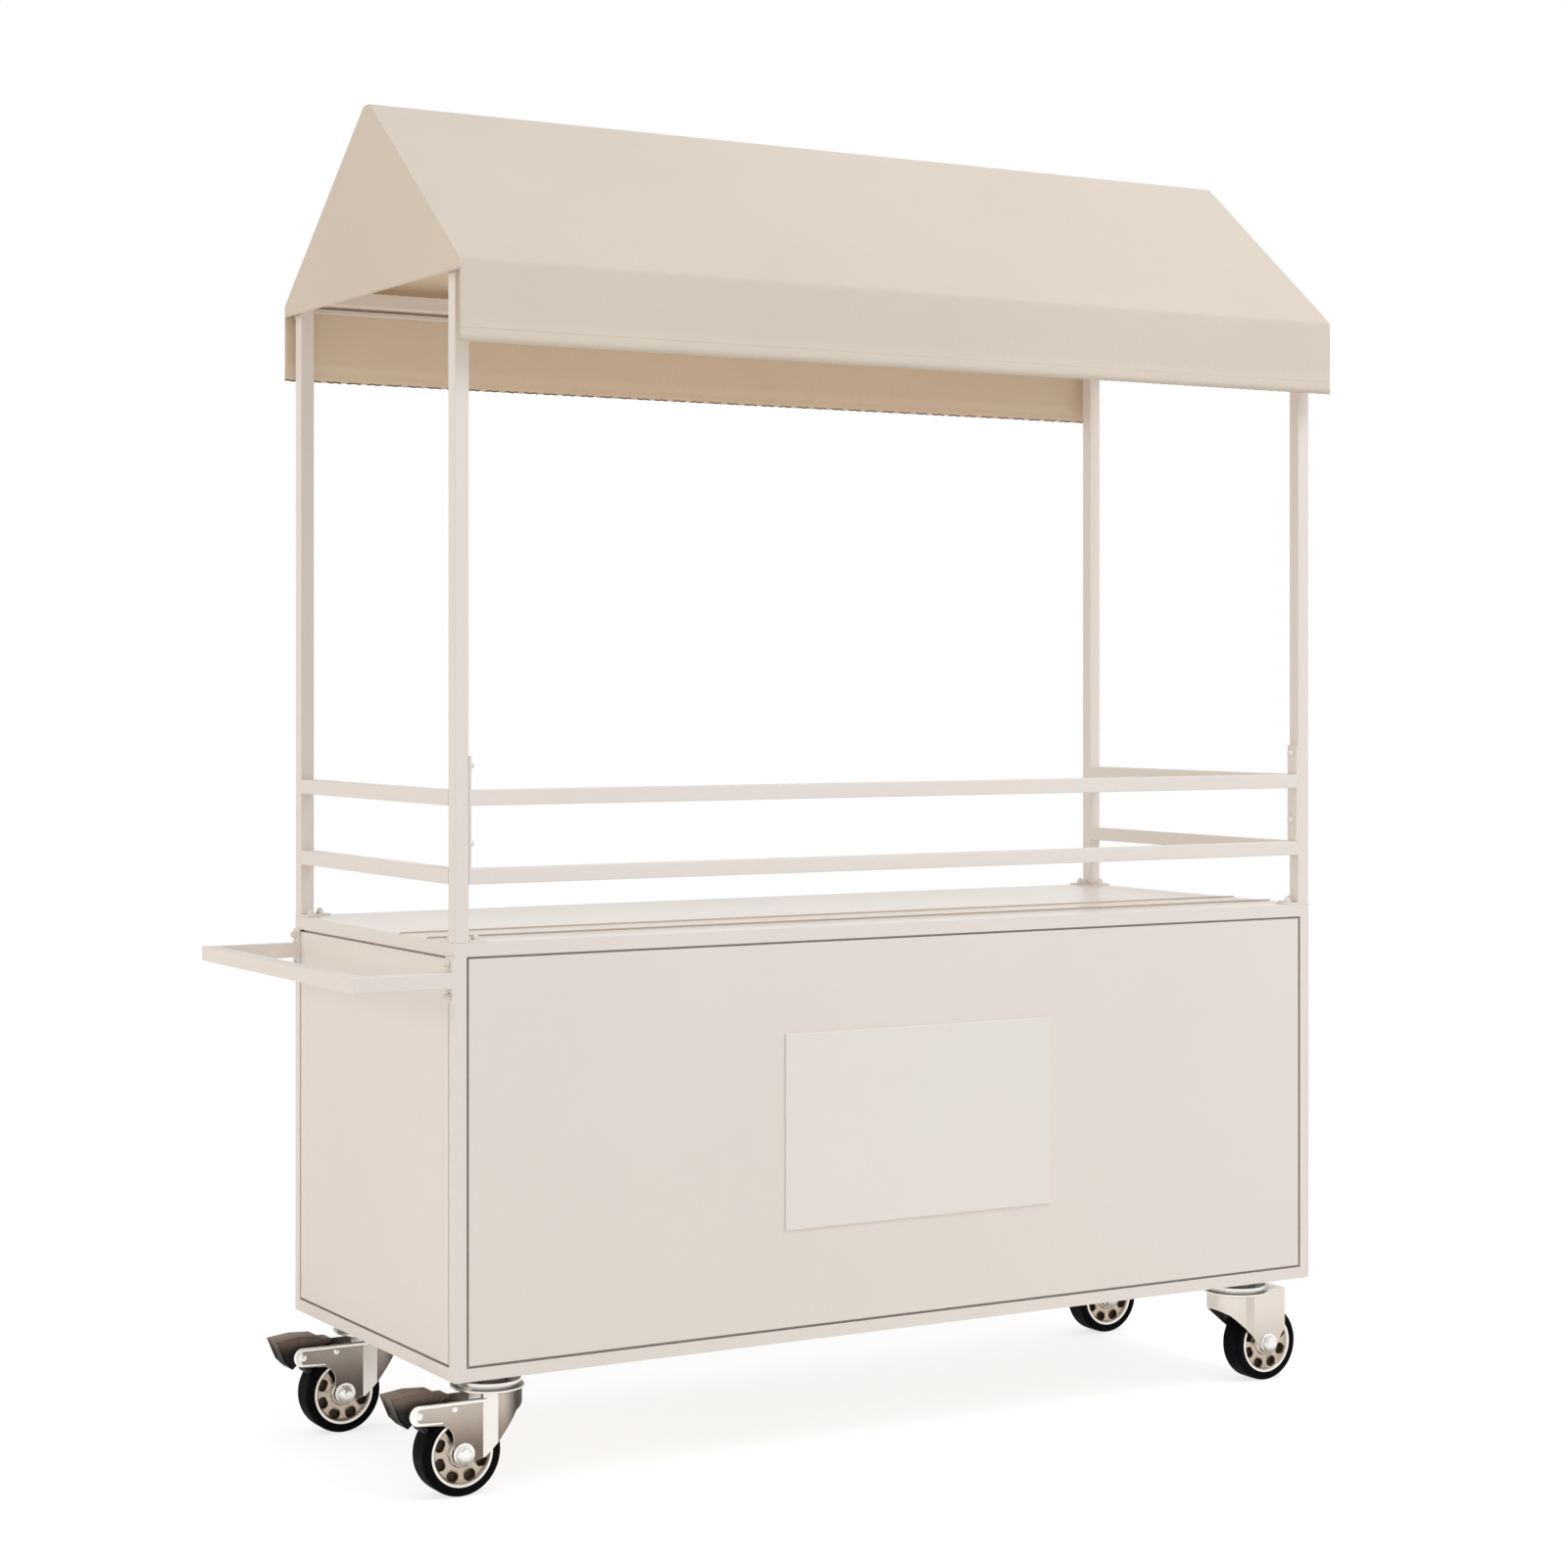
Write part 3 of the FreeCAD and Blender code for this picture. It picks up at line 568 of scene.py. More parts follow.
def plastic(name, low_tone, high_tone, low=0.0, high=1.0):
    """Moulded plastic with a grained skin, lighter towards the top as painted light, and painted shade in its
    hollows.
    """
    surface = Surface(name, *plastic_gloss)
    # Lighter towards the top: painted light
    tone = surface.mix(surface.rise(low, high), low_tone, high_tone)
    mottled = surface.blend(tone, low_tone, *plastic_mottle)
    # Painted shade in the plastic's hollows
    surface.colour(surface.crevice_shade(mottled, pedal_hollow_shade, gap_reach, metal_gap_share))
    surface.uneven(*plastic_unevenness)
    surface.relief(*plastic_relief)
    return surface.material


def seen_directly(tree):
    """A value of 1 for rays from the camera, from gloss or through glass, and 0 for light that bounces."""
    path = tree.nodes.new("ShaderNodeLightPath")
    either = path.outputs["Is Camera Ray"]
    for ray in ("Is Glossy Ray", "Is Transmission Ray"):
        larger = tree.nodes.new("ShaderNodeMath")
        larger.operation = "MAXIMUM"
        tree.links.new(either, larger.inputs[0])
        tree.links.new(path.outputs[ray], larger.inputs[1])
        either = larger.outputs["Value"]
    return either


def floor_material():
    """A white floor that is seen as white, keeps a soft shadow, and bounces light as a plain floor."""
    surface = Surface("floor", *floor_gloss)
    surface.colour(surface.blend(floor_warm, shaded(floor_warm, floor_shade), *floor_drift))
    tree = surface.tree
    glow = tree.nodes.new("ShaderNodeEmission")
    glow.inputs["Strength"].default_value = floor_glow
    matt = tree.nodes.new("ShaderNodeBsdfDiffuse")
    matt.inputs["Color"].default_value = (floor_share, floor_share, floor_share, 1)
    seen = tree.nodes.new("ShaderNodeAddShader")
    tree.links.new(glow.outputs["Emission"], seen.inputs[0])
    tree.links.new(matt.outputs["BSDF"], seen.inputs[1])
    either = tree.nodes.new("ShaderNodeMixShader")
    tree.links.new(seen_directly(tree), either.inputs["Fac"])
    tree.links.new(surface.shader.outputs["BSDF"], either.inputs[1])
    tree.links.new(seen.outputs["Shader"], either.inputs[2])
    tree.links.new(either.outputs["Shader"], tree.nodes["Material Output"].inputs["Surface"])
    return surface.material


def new_piece(name, mesh, material, body, *nodes, slot=None):
    """A piece of the scene that rides on a body and stands for CAD nodes."""
    piece = bpy.data.objects.new(name, mesh)
    bpy.context.scene.collection.objects.link(piece)
    if material is not None:
        piece.data.materials.append(material)
    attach(piece, body)
    if nodes:
        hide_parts(*nodes)
    return piece


def finish_mesh(bm, name, angle=smooth_angle):
    """A mesh with smooth faces and sharp edges where it turns by more than the angle."""
    bmesh.ops.recalc_face_normals(bm, faces=bm.faces)
    for face in bm.faces:
        face.smooth = True
    for edge in bm.edges:
        edge.smooth = len(edge.link_faces) != 2 or edge.calc_face_angle(0) < math.radians(angle)
    mesh = bpy.data.meshes.new(name)
    bm.to_mesh(mesh)
    bm.free()
    return mesh


def node_box(node):
    """The corners of a CAD node as vectors."""
    low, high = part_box(node)
    return Vector(low), Vector(high)


def canopy_profile(side, edge_y, eave, ridge_y, ridge, half_ridge):
    """One half of the cover's section, from the valance's hem up to the flat top of the ridge."""
    flat_edge = ridge_y + side * half_ridge
    slope_angle = math.atan2(ridge - eave, abs(flat_edge - edge_y))
    gable_hem = gable_hem_front if side < 0 else gable_hem_back
    free = valance_height - hem_height
    drops = [valance_height, valance_height - hem_height / 2, free + hem_step, free]
    drops += [free - (free - gable_hem) * step / valance_rows for step in range(1, valance_rows + 1)]
    drops.append((gable_hem + eave_radius / 2) / 2)
    points = [Vector((0, edge_y, eave - drop)) for drop in drops]
    turn = math.pi / 2 - slope_angle
    centre = Vector((0, edge_y - side * eave_radius, eave - eave_radius * math.tan(turn / 2)))
    for step in range(arc_steps + 1):
        angle = turn * step / arc_steps
        points.append(centre + eave_radius * Vector((0, side * math.cos(angle), math.sin(angle))))
    setback = ridge_radius * math.tan(slope_angle / 2)
    slope_start = points[-1]
    slope_end = Vector((0, flat_edge + side * setback * math.cos(slope_angle),
                        ridge - setback * math.sin(slope_angle)))
    for step in range(1, slope_rows):
        points.append(slope_start.lerp(slope_end, step / slope_rows))
    centre = Vector((0, flat_edge - side * setback, ridge - ridge_radius))
    for step in range(arc_steps + 1):
        angle = slope_angle * (1 - step / arc_steps)
        points.append(centre + ridge_radius * Vector((0, side * math.sin(angle), math.cos(angle))))
    return points


def canopy_cover():
    """The sewn cover: one sheet of two slopes, two valances and two gables."""
    low, high = node_box("canopy_valance_front")
    back_high = node_box("canopy_valance_back")[1]
    ridge = node_box("canopy_slope_front")[1].z
    tube_low, tube_high = node_box("canopy_ridge_tube")
    ridge_y = (tube_low.y + tube_high.y) / 2
    half_ridge = (tube_high.y - tube_low.y) / 2
    eave = high.z
    front_half = canopy_profile(-1, low.y, eave, ridge_y, ridge, half_ridge)
    back_half = canopy_profile(1, back_high.y, eave, ridge_y, ridge, half_ridge)
    rows = len(front_half)
    section = front_half + [Vector((0, ridge_y, ridge))] + back_half[::-1]
    gable_row = hem_rows + valance_rows - 1
    eave_row = gable_row + 2
    slope_first = eave_row + arc_steps
    middle_x = (low.x + high.x) / 2
    half_x = (high.x - low.x) / 2
    bay = half_x - rafter_inset
    columns = round(2 * half_x / cloth_step)

    def place(column, index):
        """A point of the main sheet, with its sag, waves and puckers."""
        x = middle_x - half_x + 2 * half_x * column / columns
        point = section[index].copy()
        point.x = x
        side = -1 if index < rows else 1
        row = index if index < rows else len(section) - 1 - index
        if row >= slope_first:
            share = min((row - slope_first) / (slope_rows + arc_steps), 1)
            bay_share = min(abs(x - middle_x) / bay, 1)
            hold = (math.sin(math.pi * bay_share) * math.sin(math.pi * share)) ** 2
            ripple = noise.noise(Vector((x * ripple_pitch, share * ripple_rows, side)))
            sag = hold * (slope_sag + slope_ripple * ripple)
            run = Vector((0, -side * abs(ridge_y - low.y), ridge - eave)).normalized()
            point -= sag * Vector((0, side * run.z, abs(run.y)))
        elif row < eave_row:
            hang = (eave - point.z) / valance_height
            swing = noise.noise(Vector((x * swing_pitch, side * swing_seed[0], swing_seed[1])))
            swing += flutter_share * noise.noise(
                Vector((x * flutter_pitch, side * flutter_seed[0], flutter_seed[1])))
            end_share = min((half_x - abs(x - middle_x)) / end_hold, 1)
            point.y += valance_wave * swing * hang ** hang_power * (end_swing + (1 - end_swing) * end_share)
            if row <= hem_band_rows:
                point.y += side * hem_swell
            pucker = front_pucker if side < 0 else back_pucker
            gather = math.sin(2 * math.pi * x / pucker_pitch)
            gather += gather_share * noise.noise(Vector((x * gather_pitch, side, 0)))
            point.z += pucker * gather * max(0, hang - drop_start) / (1 - drop_start)
            point.y += pucker * gather * max(0, hang - push_start)
        return point

    bm = bmesh.new()
    uv = bm.loops.layers.uv.new("cloth")
    grid = [[bm.verts.new(place(column, index)) for index in range(len(section))]
            for column in range(columns + 1)]
    run_length = [0.0]
    for first, second in zip(section, section[1:]):
        run_length.append(run_length[-1] + (second - first).length)
    for column in range(columns):
        for index in range(len(section) - 1):
            corners = ((column, index), (column + 1, index), (column + 1, index + 1), (column, index + 1))
            face = bm.faces.new([grid[i][j] for i, j in corners])
            for loop, (i, j) in zip(face.loops, corners):
                loop[uv].uv = (2 * half_x * i / columns, run_length[j])
    for column, outward in ((0, -1), (columns, 1)):
        sew_gable(bm, uv, grid[column], gable_row, rows, outward)
    mesh = finish_mesh(bm, "canopy_cover", angle=cover_angle)
    flat_width = run_length[-1]
    cover = new_piece("canopy_cover", mesh, cloth("canopy_cloth", flat_width), "cart",
                      "canopy_slope_front", "canopy_slope_back", "canopy_valance_front",
                      "canopy_valance_back", "canopy_gable_left", "canopy_gable_right", slot="canopy_cloth")
    cover.data.materials.append(cloth_back("canopy_cloth_inside", flat_width))
    thick = cover.modifiers.new("thickness", "SOLIDIFY")
    thick.material_offset = 1
    thick.thickness = cloth_thickness
    thick.offset = -1
    thick.use_even_offset = True
    return cover


def sew_gable(bm, uv, edge, gable_row, rows, outward):
    """A gable between the two ends of the slopes, sewn to their edges."""
    last = len(edge) - 1
    crown_row = rows - 1 - arc_steps
    previous = None
    for row in range(gable_row, crown_row + 1):
        front, back = edge[row], edge[last - row]
        height = (row - gable_row) / (crown_row - gable_row)
        line = [front]
        for column in range(1, gable_columns):
            share = column / gable_columns
            point = front.co.lerp(back.co, share)
            hold = math.sin(math.pi * share) * math.sin(math.pi * min(height + gable_slack, 1))
            wave = noise.noise(Vector((point.y * gable_pitch, point.z * gable_pitch, outward)))
            point.x += outward * gable_wave * wave * hold
            line.append(bm.verts.new(point))
        line.append(back)
        if previous:
            for column in range(gable_columns):
                sewn_face(bm, uv, [previous[column], previous[column + 1], line[column + 1], line[column]])
        previous = line
    back_crown = [edge[last - row] for row in range(crown_row + 1, rows)]
    front_crown = [edge[row] for row in range(rows - 1, crown_row, -1)]
    sewn_face(bm, uv, previous + back_crown + [edge[rows]] + front_crown)


def sewn_face(bm, uv, corners):
    """A face of a gable, with its threads along the cart's width and height."""
    face = bm.faces.new(corners)
    for loop in face.loops:
        loop[uv].uv = (loop.vert.co.y, loop.vert.co.z)


def ring_mesh(half_section, centre, segments):
    """A round piece about the wheel's axle, from the radii and half widths of one side."""
    section = half_section + [(radius, -along) for radius, along in reversed(half_section)]
    bm = bmesh.new()
    rings = []
    for step in range(segments):
        angle = 2 * math.pi * step / segments
        out = Vector((math.cos(angle), 0, math.sin(angle)))
        rings.append([bm.verts.new(centre + out * radius + Vector((0, along, 0)))
                      for radius, along in section])
    for step in range(segments):
        bridge(bm, rings[step], rings[(step + 1) % segments])
    return bm


def round_edge(radius, along, bend, steps, start, end):
    """Points of a rounded edge between two angles, given in degrees from straight out."""
    points = []
    for step in range(steps + 1):
        angle = math.radians(start + (end - start) * step / steps)
        points.append((radius + bend * math.cos(angle), along + bend * math.sin(angle)))
    return points


def tyre(corner, material):
    """A tyre with a rounded side wall and shoulder."""
    node = "caster_tyre_" + corner
    low, high = node_box(node)
    centre = (low + high) / 2
    radius = (high.x - low.x) / 2
    half = (high.y - low.y) / 2
    bead = node_box("caster_rim_" + corner)
    inner = (bead[1].x - bead[0].x) / 2
    section = [(inner - tyre_lap, half - tyre_lip), (inner + tyre_lip, half - tyre_lip / 2)]
    section += [(inner + (radius - inner) / 2, half)]
    section += round_edge(radius - tyre_edge_radius, half - tyre_edge_radius, tyre_edge_radius,
                          tyre_edge_steps, tyre_edge_start, tyre_edge_end)
    section += [(radius, half - tyre_shoulder_share * tyre_edge_radius), (radius, half / 4)]
    bm = ring_mesh(section, centre, wheel_segments)
    return new_piece("tyre_" + corner, finish_mesh(bm, node, angle=tyre_angle), material, "wheel_" + corner,
                     node, slot="tyre_rubber")


def capsule(centre, angle, length, width, low, high):
    """An oval block that lies along the rim's circle, from low to high along the axle."""
    bm = bmesh.new()
    points = []
    straight = (length - width) / 2
    for step in range(recess_sides):
        turn = 2 * math.pi * step / recess_sides
        along = math.cos(turn) * width / 2 + math.copysign(straight, math.cos(turn))
        points.append((along, math.sin(turn) * width / 2))
    turn = Matrix.Rotation(angle, 3, "Y")
    near, far = [[bm.verts.new(centre + turn @ Vector((u, place, rim_recess_radius + v))) for u, v in points]
                 for place in (low, high)]
    bridge(bm, near, far)
    bm.faces.new(near[::-1])
    bm.faces.new(far)
    return bm


def rim(corner, material, dark, bright):
    """A cast rim: hub ring, web with oval recesses on both faces, and a raised lip; the lip and hub ring in a
    painted highlight, the recesses in a flat dark painted shade.
    """
    node = "caster_rim_" + corner
    low, high = node_box(node)
    centre = (low + high) / 2
    radius = (high.x - low.x) / 2
    half_hub = (high.y - low.y) / 2
    tyre_low, tyre_high = node_box("caster_tyre_" + corner)
    half = (tyre_high.y - tyre_low.y) / 2
    web = half - rim_dish_depth - rim_lip_depth
    lip_inner = radius - rim_lip_width
    section = [(axle_bore, half_hub), (hub_ring_radius - hub_bevel, half_hub),
               (hub_ring_radius, half_hub - hub_bevel), (hub_ring_radius + hub_bevel, web + hub_bevel),
               (hub_ring_radius + 2 * hub_bevel, web), (lip_inner - rim_flare, web),
               (lip_inner - hub_bevel, half - rim_lip_depth), (lip_inner, half - hub_bevel / 2),
               (radius - rim_lip_width / 2, half), (radius, half - hub_bevel / 2)]
    turned = ring_mesh(section, centre, wheel_segments)
    base = bpy.data.objects.new("rim_base", finish_mesh(turned, "rim_base"))
    base.data.materials.append(material)
    base.data.materials.append(bright)
    lip_start = lip_inner - rim_flare / 2
    for face in base.data.polygons:
        reach = math.hypot(face.center.x - centre.x, face.center.z - centre.z)
        on_lip = reach > lip_start
        on_hub = abs(reach - hub_ring_radius) < hub_bevel
        # Lip and hub ring take the painted highlight
        face.material_index = int(on_lip or on_hub)
    bm = bmesh.new()
    for index in range(rim_recess_count):
        angle = 2 * math.pi * (index + 1 / 2) / rim_recess_count
        for side in (-1, 1):
            inner, outer = sorted((side * (web - rim_recess_depth), side * (web + rim_lip_depth)))
            block = capsule(centre, angle, rim_recess_length, rim_recess_width, inner, outer)
            part_mesh = bpy.data.meshes.new("recess")
            block.to_mesh(part_mesh)
            block.free()
            bm.from_mesh(part_mesh)
            bpy.data.meshes.remove(part_mesh)
    cutter = bpy.data.objects.new("rim_cutter", finish_mesh(bm, "rim_cutter"))
    # The recesses take the flat dark of painted shade
    cutter.data.materials.append(dark)
    for helper in (base, cutter):
        bpy.context.scene.collection.objects.link(helper)
    cut = base.modifiers.new("recesses", "BOOLEAN")
    cut.operation = "DIFFERENCE"
    cut.solver = "EXACT"
    cut.material_mode = "TRANSFER"
    cut.object = cutter
    bpy.context.view_layer.update()
    mesh = bpy.data.meshes.new_from_object(base.evaluated_get(bpy.context.evaluated_depsgraph_get()))
    mesh.name = node
    for helper in (base, cutter):
        bpy.data.objects.remove(helper)
    return new_piece("rim_" + corner, mesh, None, "wheel_" + corner, node, slot="rim_metal")


def softened(node, name, material, body, bevel, slot, edge_material=None, angle=smooth_angle):
    """A copy of a CAD node with its edges rounded, and the rounded edges in a material of their own, a
    painted highlight where the forks use it.
    """
    bm = bmesh.new()
    bm.from_mesh(bpy.data.objects[node].data)
    bmesh.ops.remove_doubles(bm, verts=bm.verts, dist=weld_distance)
    bmesh.ops.dissolve_limit(bm, angle_limit=flat_angle, verts=bm.verts, edges=bm.edges)
    edges = [edge for edge in bm.edges if len(edge.link_faces) == 2
             and edge.calc_face_angle() > soften_angle]
    rounded = bmesh.ops.bevel(bm, geom=edges, offset=bevel, offset_type="OFFSET", segments=bevel_steps,
                              profile=0.5, affect="EDGES", clamp_overlap=True)
    if edge_material is not None:
        for face in rounded["faces"]:
            face.material_index = 1
    piece = new_piece(name, finish_mesh(bm, name, angle=angle), material, body, node, slot=slot)
    if edge_material is not None:
        piece.data.materials.append(edge_material)
    return piece


def islands(node):
    """The boxes of the separate solids in a CAD node."""
    bm = bmesh.new()
    bm.from_mesh(bpy.data.objects[node].data)
    bmesh.ops.remove_doubles(bm, verts=bm.verts, dist=weld_distance)
    seen = set()
    boxes = []
    for start in bm.verts:
        if start in seen:
            continue
        stack = [start]
        seen.add(start)
        low, high = start.co.copy(), start.co.copy()
        while stack:
            vertex = stack.pop()
            low = Vector(map(min, low, vertex.co))
            high = Vector(map(max, high, vertex.co))
            for edge in vertex.link_edges:
                other = edge.other_vert(vertex)
                if other not in seen:
                    seen.add(other)
                    stack.append(other)
        boxes.append((low, high))
    bm.free()
    return boxes


def dome_nuts(node, name, material, axis):
    """Closed nuts in place of a node's solids: a bevelled hexagon with a round cap."""
    bm = bmesh.new()
    for low, high in islands(node):
        middle = (low + high) / 2
        direction = axis(middle)
        height = abs((high - low).dot(direction))
        seat = middle - direction * height / 2
        turn = direction.to_track_quat("Z", "Y").to_matrix().to_4x4()
        add_nut(bm, Matrix.Translation(seat) @ turn, height, nut_corner_radius, nut_dome_radius)
    return new_piece(name, finish_mesh(bm, name), material, "cart", node, slot="dome_nut_metal")


def add_nut(bm, place, height, corner_radius, dome_radius):
    """One closed nut that stands on its place's origin."""
    hexagon_height = height * nut_hexagon_share
    rings = []
    for share, level in ((1, 0), (1, nut_rim_share), (nut_taper_share, 1)):
        rings.append(ring_of(bm, place, corner_radius * share, hexagon_height * level, nut_sides))
    bm.faces.new(rings[0][::-1])
    bm.faces.new(rings[-1])
    for lower, upper in zip(rings, rings[1:]):
        bridge(bm, lower, upper)
    add_dome(bm, place, dome_radius, hexagon_height, height)


def add_dome(bm, place, radius, low, high):
    """A round cap from a flat base up to its tip."""
    previous = None
    for ring in range(dome_rings):
        angle = math.pi / 2 * ring / dome_rings
        level = low + (high - low) * math.sin(angle)
        loop = ring_of(bm, place, radius * math.cos(angle), level, dome_segments)
        if previous is None:
            bm.faces.new(loop[::-1])
        else:
            bridge(bm, previous, loop)
        previous = loop
    tip = bm.verts.new(place @ Vector((0, 0, high)))
    for index in range(dome_segments):
        bm.faces.new((previous[index], previous[(index + 1) % dome_segments], tip))


def add_rod(bm, place, radius, low, high, taper=0.0):
    """A round bar or washer, with its far edge taken in by the taper."""
    rings = [ring_of(bm, place, radius, level, dome_segments) for level in (low, high - taper)]
    if taper:
        rings.append(ring_of(bm, place, radius - taper, high, dome_segments))
    bm.faces.new(rings[0][::-1])
    bm.faces.new(rings[-1])
    for lower, upper in zip(rings, rings[1:]):
        bridge(bm, lower, upper)


def ring_of(bm, place, radius, level, count):
    """A ring of points at a level above its place."""
    turns = [2 * math.pi * index / count for index in range(count)]
    return [bm.verts.new(place @ Vector((radius * math.cos(turn), radius * math.sin(turn), level)))
            for turn in turns]


def bridge(bm, lower, upper):
    """The faces between two rings with as many points."""
    for index in range(len(lower)):
        after = (index + 1) % len(lower)
        bm.faces.new((lower[index], lower[after], upper[after], upper[index]))


def hub_and_reach(corner):
    """The middle of a wheel's hub, and the way from there to the outer face of a fork's leg."""
    low, high = node_box("caster_rim_" + corner)
    return (low + high) / 2, (high.y - low.y) / 2 + hub_side_gap + fork_sheet


def axle(corner, material):
    """The axle with a washer and a closed nut at each end, and the brake's pivot pin and rivets."""
    node = "caster_axle_" + corner
    hub, half_leg = hub_and_reach(corner)
    bm = bmesh.new()
    for low, high in islands(node):
        centre = (low + high) / 2
        reach = (high.y - low.y) / 2
        for side in (-1, 1):
            turn = Vector((0, side, 0)).to_track_quat("Z", "Y").to_matrix().to_4x4()
            place = Matrix.Translation(Vector((centre.x, hub.y, centre.z))) @ turn
            seat = place @ Matrix.Translation(Vector((0, 0, half_leg)))
            if abs(centre.x - hub.x) < axle_bore:
                add_rod(bm, place, axle_bore - axle_play, 0, half_leg)
                add_rod(bm, seat, washer_radius, 0, washer_height, taper=washer_taper)
                add_nut(bm, seat @ Matrix.Translation(Vector((0, 0, washer_height))),
                        reach - half_leg - washer_height, axle_nut_corner_radius, axle_nut_dome_radius)
            else:
                add_rod(bm, place, pin_radius, 0, half_leg)
                add_dome(bm, seat, (high.x - low.x) / 2, 0, reach - half_leg)
                back = math.copysign(rivet_back, centre.x - hub.x)
                rivet = Vector((hub.x + back, hub.y, hub.z + rivet_up))
                add_dome(bm, Matrix.Translation(rivet) @ turn @ Matrix.Translation(Vector((0, 0, half_leg))),
                         rivet_radius, 0, rivet_height)
    return new_piece("axle_" + corner, finish_mesh(bm, node), material, "swivel_" + corner, node,
                     slot="zinc_steel")


def fork(corner, material, bright, step):
    """The pressed fork: a painted highlight on its rounded edges and crown, and the step where each leg bends
    outwards in a material of its own: a painted highlight on the left forks, a painted shade a little darker
    than the leg on the right ones.
    """
    piece = softened("caster_fork_" + corner, "fork_" + corner, material, "swivel_" + corner, steel_bevel,
                     "zinc_steel", edge_material=bright, angle=fork_angle)
    piece.data.materials.append(step)
    least, most = step_face_turn_shares
    for face in piece.data.polygons:
        if face.area > step_face_area and least < abs(face.normal.y) < most:
            # The leg's step: painted highlight on the left forks, painted shade on the right ones
            face.material_index = 2
        if face.center.z > crown_low:
            # Crown in the painted highlight
            face.material_index = 1
    return piece


def arm_bead(corner, material):
    """The rolled edge along the top and round the tip of the brake's arm, on both legs, in near-white metal
    as a painted highlight.
    """
    hub, half_leg = hub_and_reach(corner)
    fork_front = node_box("caster_fork_" + corner)[1].x
    pins = [(least + most) / 2 for least, most in islands("caster_axle_" + corner)]
    pin = min(pins, key=lambda place: place.x)
    start_x = hub.x + (fork_front - hub.x) * leg_band_share
    rows = [(Vector((start_x, 0, pin.z + arm_radius)), Vector((0, 0, 1)), bead_width)]
    for step in range(arm_turns + 1):
        turn = math.pi / 2 + math.pi * step / arm_turns
        out = Vector((math.cos(turn), 0, math.sin(turn)))
        swell = math.sin(math.pi * step / arm_turns)
        width = bead_width + (bead_tip_width - bead_width) * swell
        rows.append((Vector((pin.x, 0, pin.z)) + out * arm_radius, out, width))
    rows.append((Vector((hub.x - arm_root_back, 0, pin.z - arm_radius)), Vector((0, 0, -1)), bead_width / 2))
    bm = bmesh.new()
    turns = [math.pi * step / bead_steps for step in range(bead_steps + 1)]
    for side in (-1, 1):
        seat = Vector((0, hub.y + side * half_leg, 0))
        loops = []
        for edge, out, width in rows:
            middle = edge - out * width / 2 + seat
            loops.append([bm.verts.new(middle + out * math.cos(turn) * width / 2
                                       + Vector((0, side * bead_height * math.sin(turn), 0)))
                          for turn in turns])
        for here, there in zip(loops, loops[1:]):
            bridge(bm, here, there)
        bm.faces.new(loops[0][::-1])
        bm.faces.new(loops[-1])
    return new_piece("arm_edge_" + corner, finish_mesh(bm, "arm_edge"), material, "swivel_" + corner,
                     slot="zinc_steel")


def counter_seal(name, place, material):
    """The low half-round bead that seals one joint of the counter from end to end."""
    low, high = node_box("counter_middle_board")
    turns = [math.pi * step / seal_steps for step in range(seal_steps + 1)]
    bm = bmesh.new()
    rows = []
    for x in (low.x + seal_end, high.x - seal_end):
        rows.append([bm.verts.new((x, place + seal_width / 2 * math.cos(turn),
                                   high.z - seal_sink + (seal_height + seal_sink) * math.sin(turn)))
                     for turn in turns])
    bridge(bm, *rows)
    bm.faces.new(rows[0])
    bm.faces.new(rows[1][::-1])
    return new_piece(name, finish_mesh(bm, name), material, "cart", slot="cream_paint")


def pedal(corner, material):
    """The brake pedal with rounded edges and a hollow in each large face."""
    piece = softened("brake_pedal_" + corner, "pedal_" + corner, material, "pedal_" + corner, pedal_bevel,
                     "pedal_plastic")
    bm = bmesh.new()
    bm.from_mesh(piece.data)
    faces = [face for face in bm.faces if face.calc_area() > hollow_area and face.normal.z < hollow_facing]
    bmesh.ops.inset_individual(bm, faces=faces, thickness=hollow_rim, depth=-hollow_depth,
                               use_even_offset=True)
    for edge in bm.edges:
        edge.smooth = len(edge.link_faces) != 2 or edge.calc_face_angle(0) < soften_angle
    bm.to_mesh(piece.data)
    bm.free()


def dress_nodes(materials):
    """A material for every CAD node that stays in view."""
    finishes = {"caster_top": "zinc", "caster_kingpins": "zinc", "caster_plate_bolts": "zinc",
                "front_plate": "plate", "counter_front": "counter", "counter_middle": "counter",
                "counter_rear": "counter"}
    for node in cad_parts:
        cad = bpy.data.objects.get(node)
        if cad is None:
            continue
        finish = "paint"
        for start, choice in finishes.items():
            if node.startswith(start):
                finish = choice
        cad.data.materials.clear()
        cad.data.materials.append(materials[finish])


def floor():
    """A large pale floor."""
    bm = bmesh.new()
    bmesh.ops.create_grid(bm, x_segments=1, y_segments=1, size=backdrop_half)
    mesh = bpy.data.meshes.new("floor")
    bm.to_mesh(mesh)
    bm.free()
    plane = bpy.data.objects.new("floor", mesh)
    bpy.context.scene.collection.objects.link(plane)
    plane.data.materials.append(floor_material())


def area_lamp(name, place, size, power, colour):
    """A soft lamp that looks at the middle of the cart."""
    lamp = bpy.data.lights.new(name, "AREA")
    lamp.color = colour
    lamp.size = size
    lamp.energy = power
    holder = bpy.data.objects.new(name, lamp)
    bpy.context.scene.collection.objects.link(holder)
    holder.location = place
    aim = Vector((0, 0, look_height)) - Vector(place)
    holder.rotation_euler = aim.to_track_quat("-Z", "Y").to_euler()


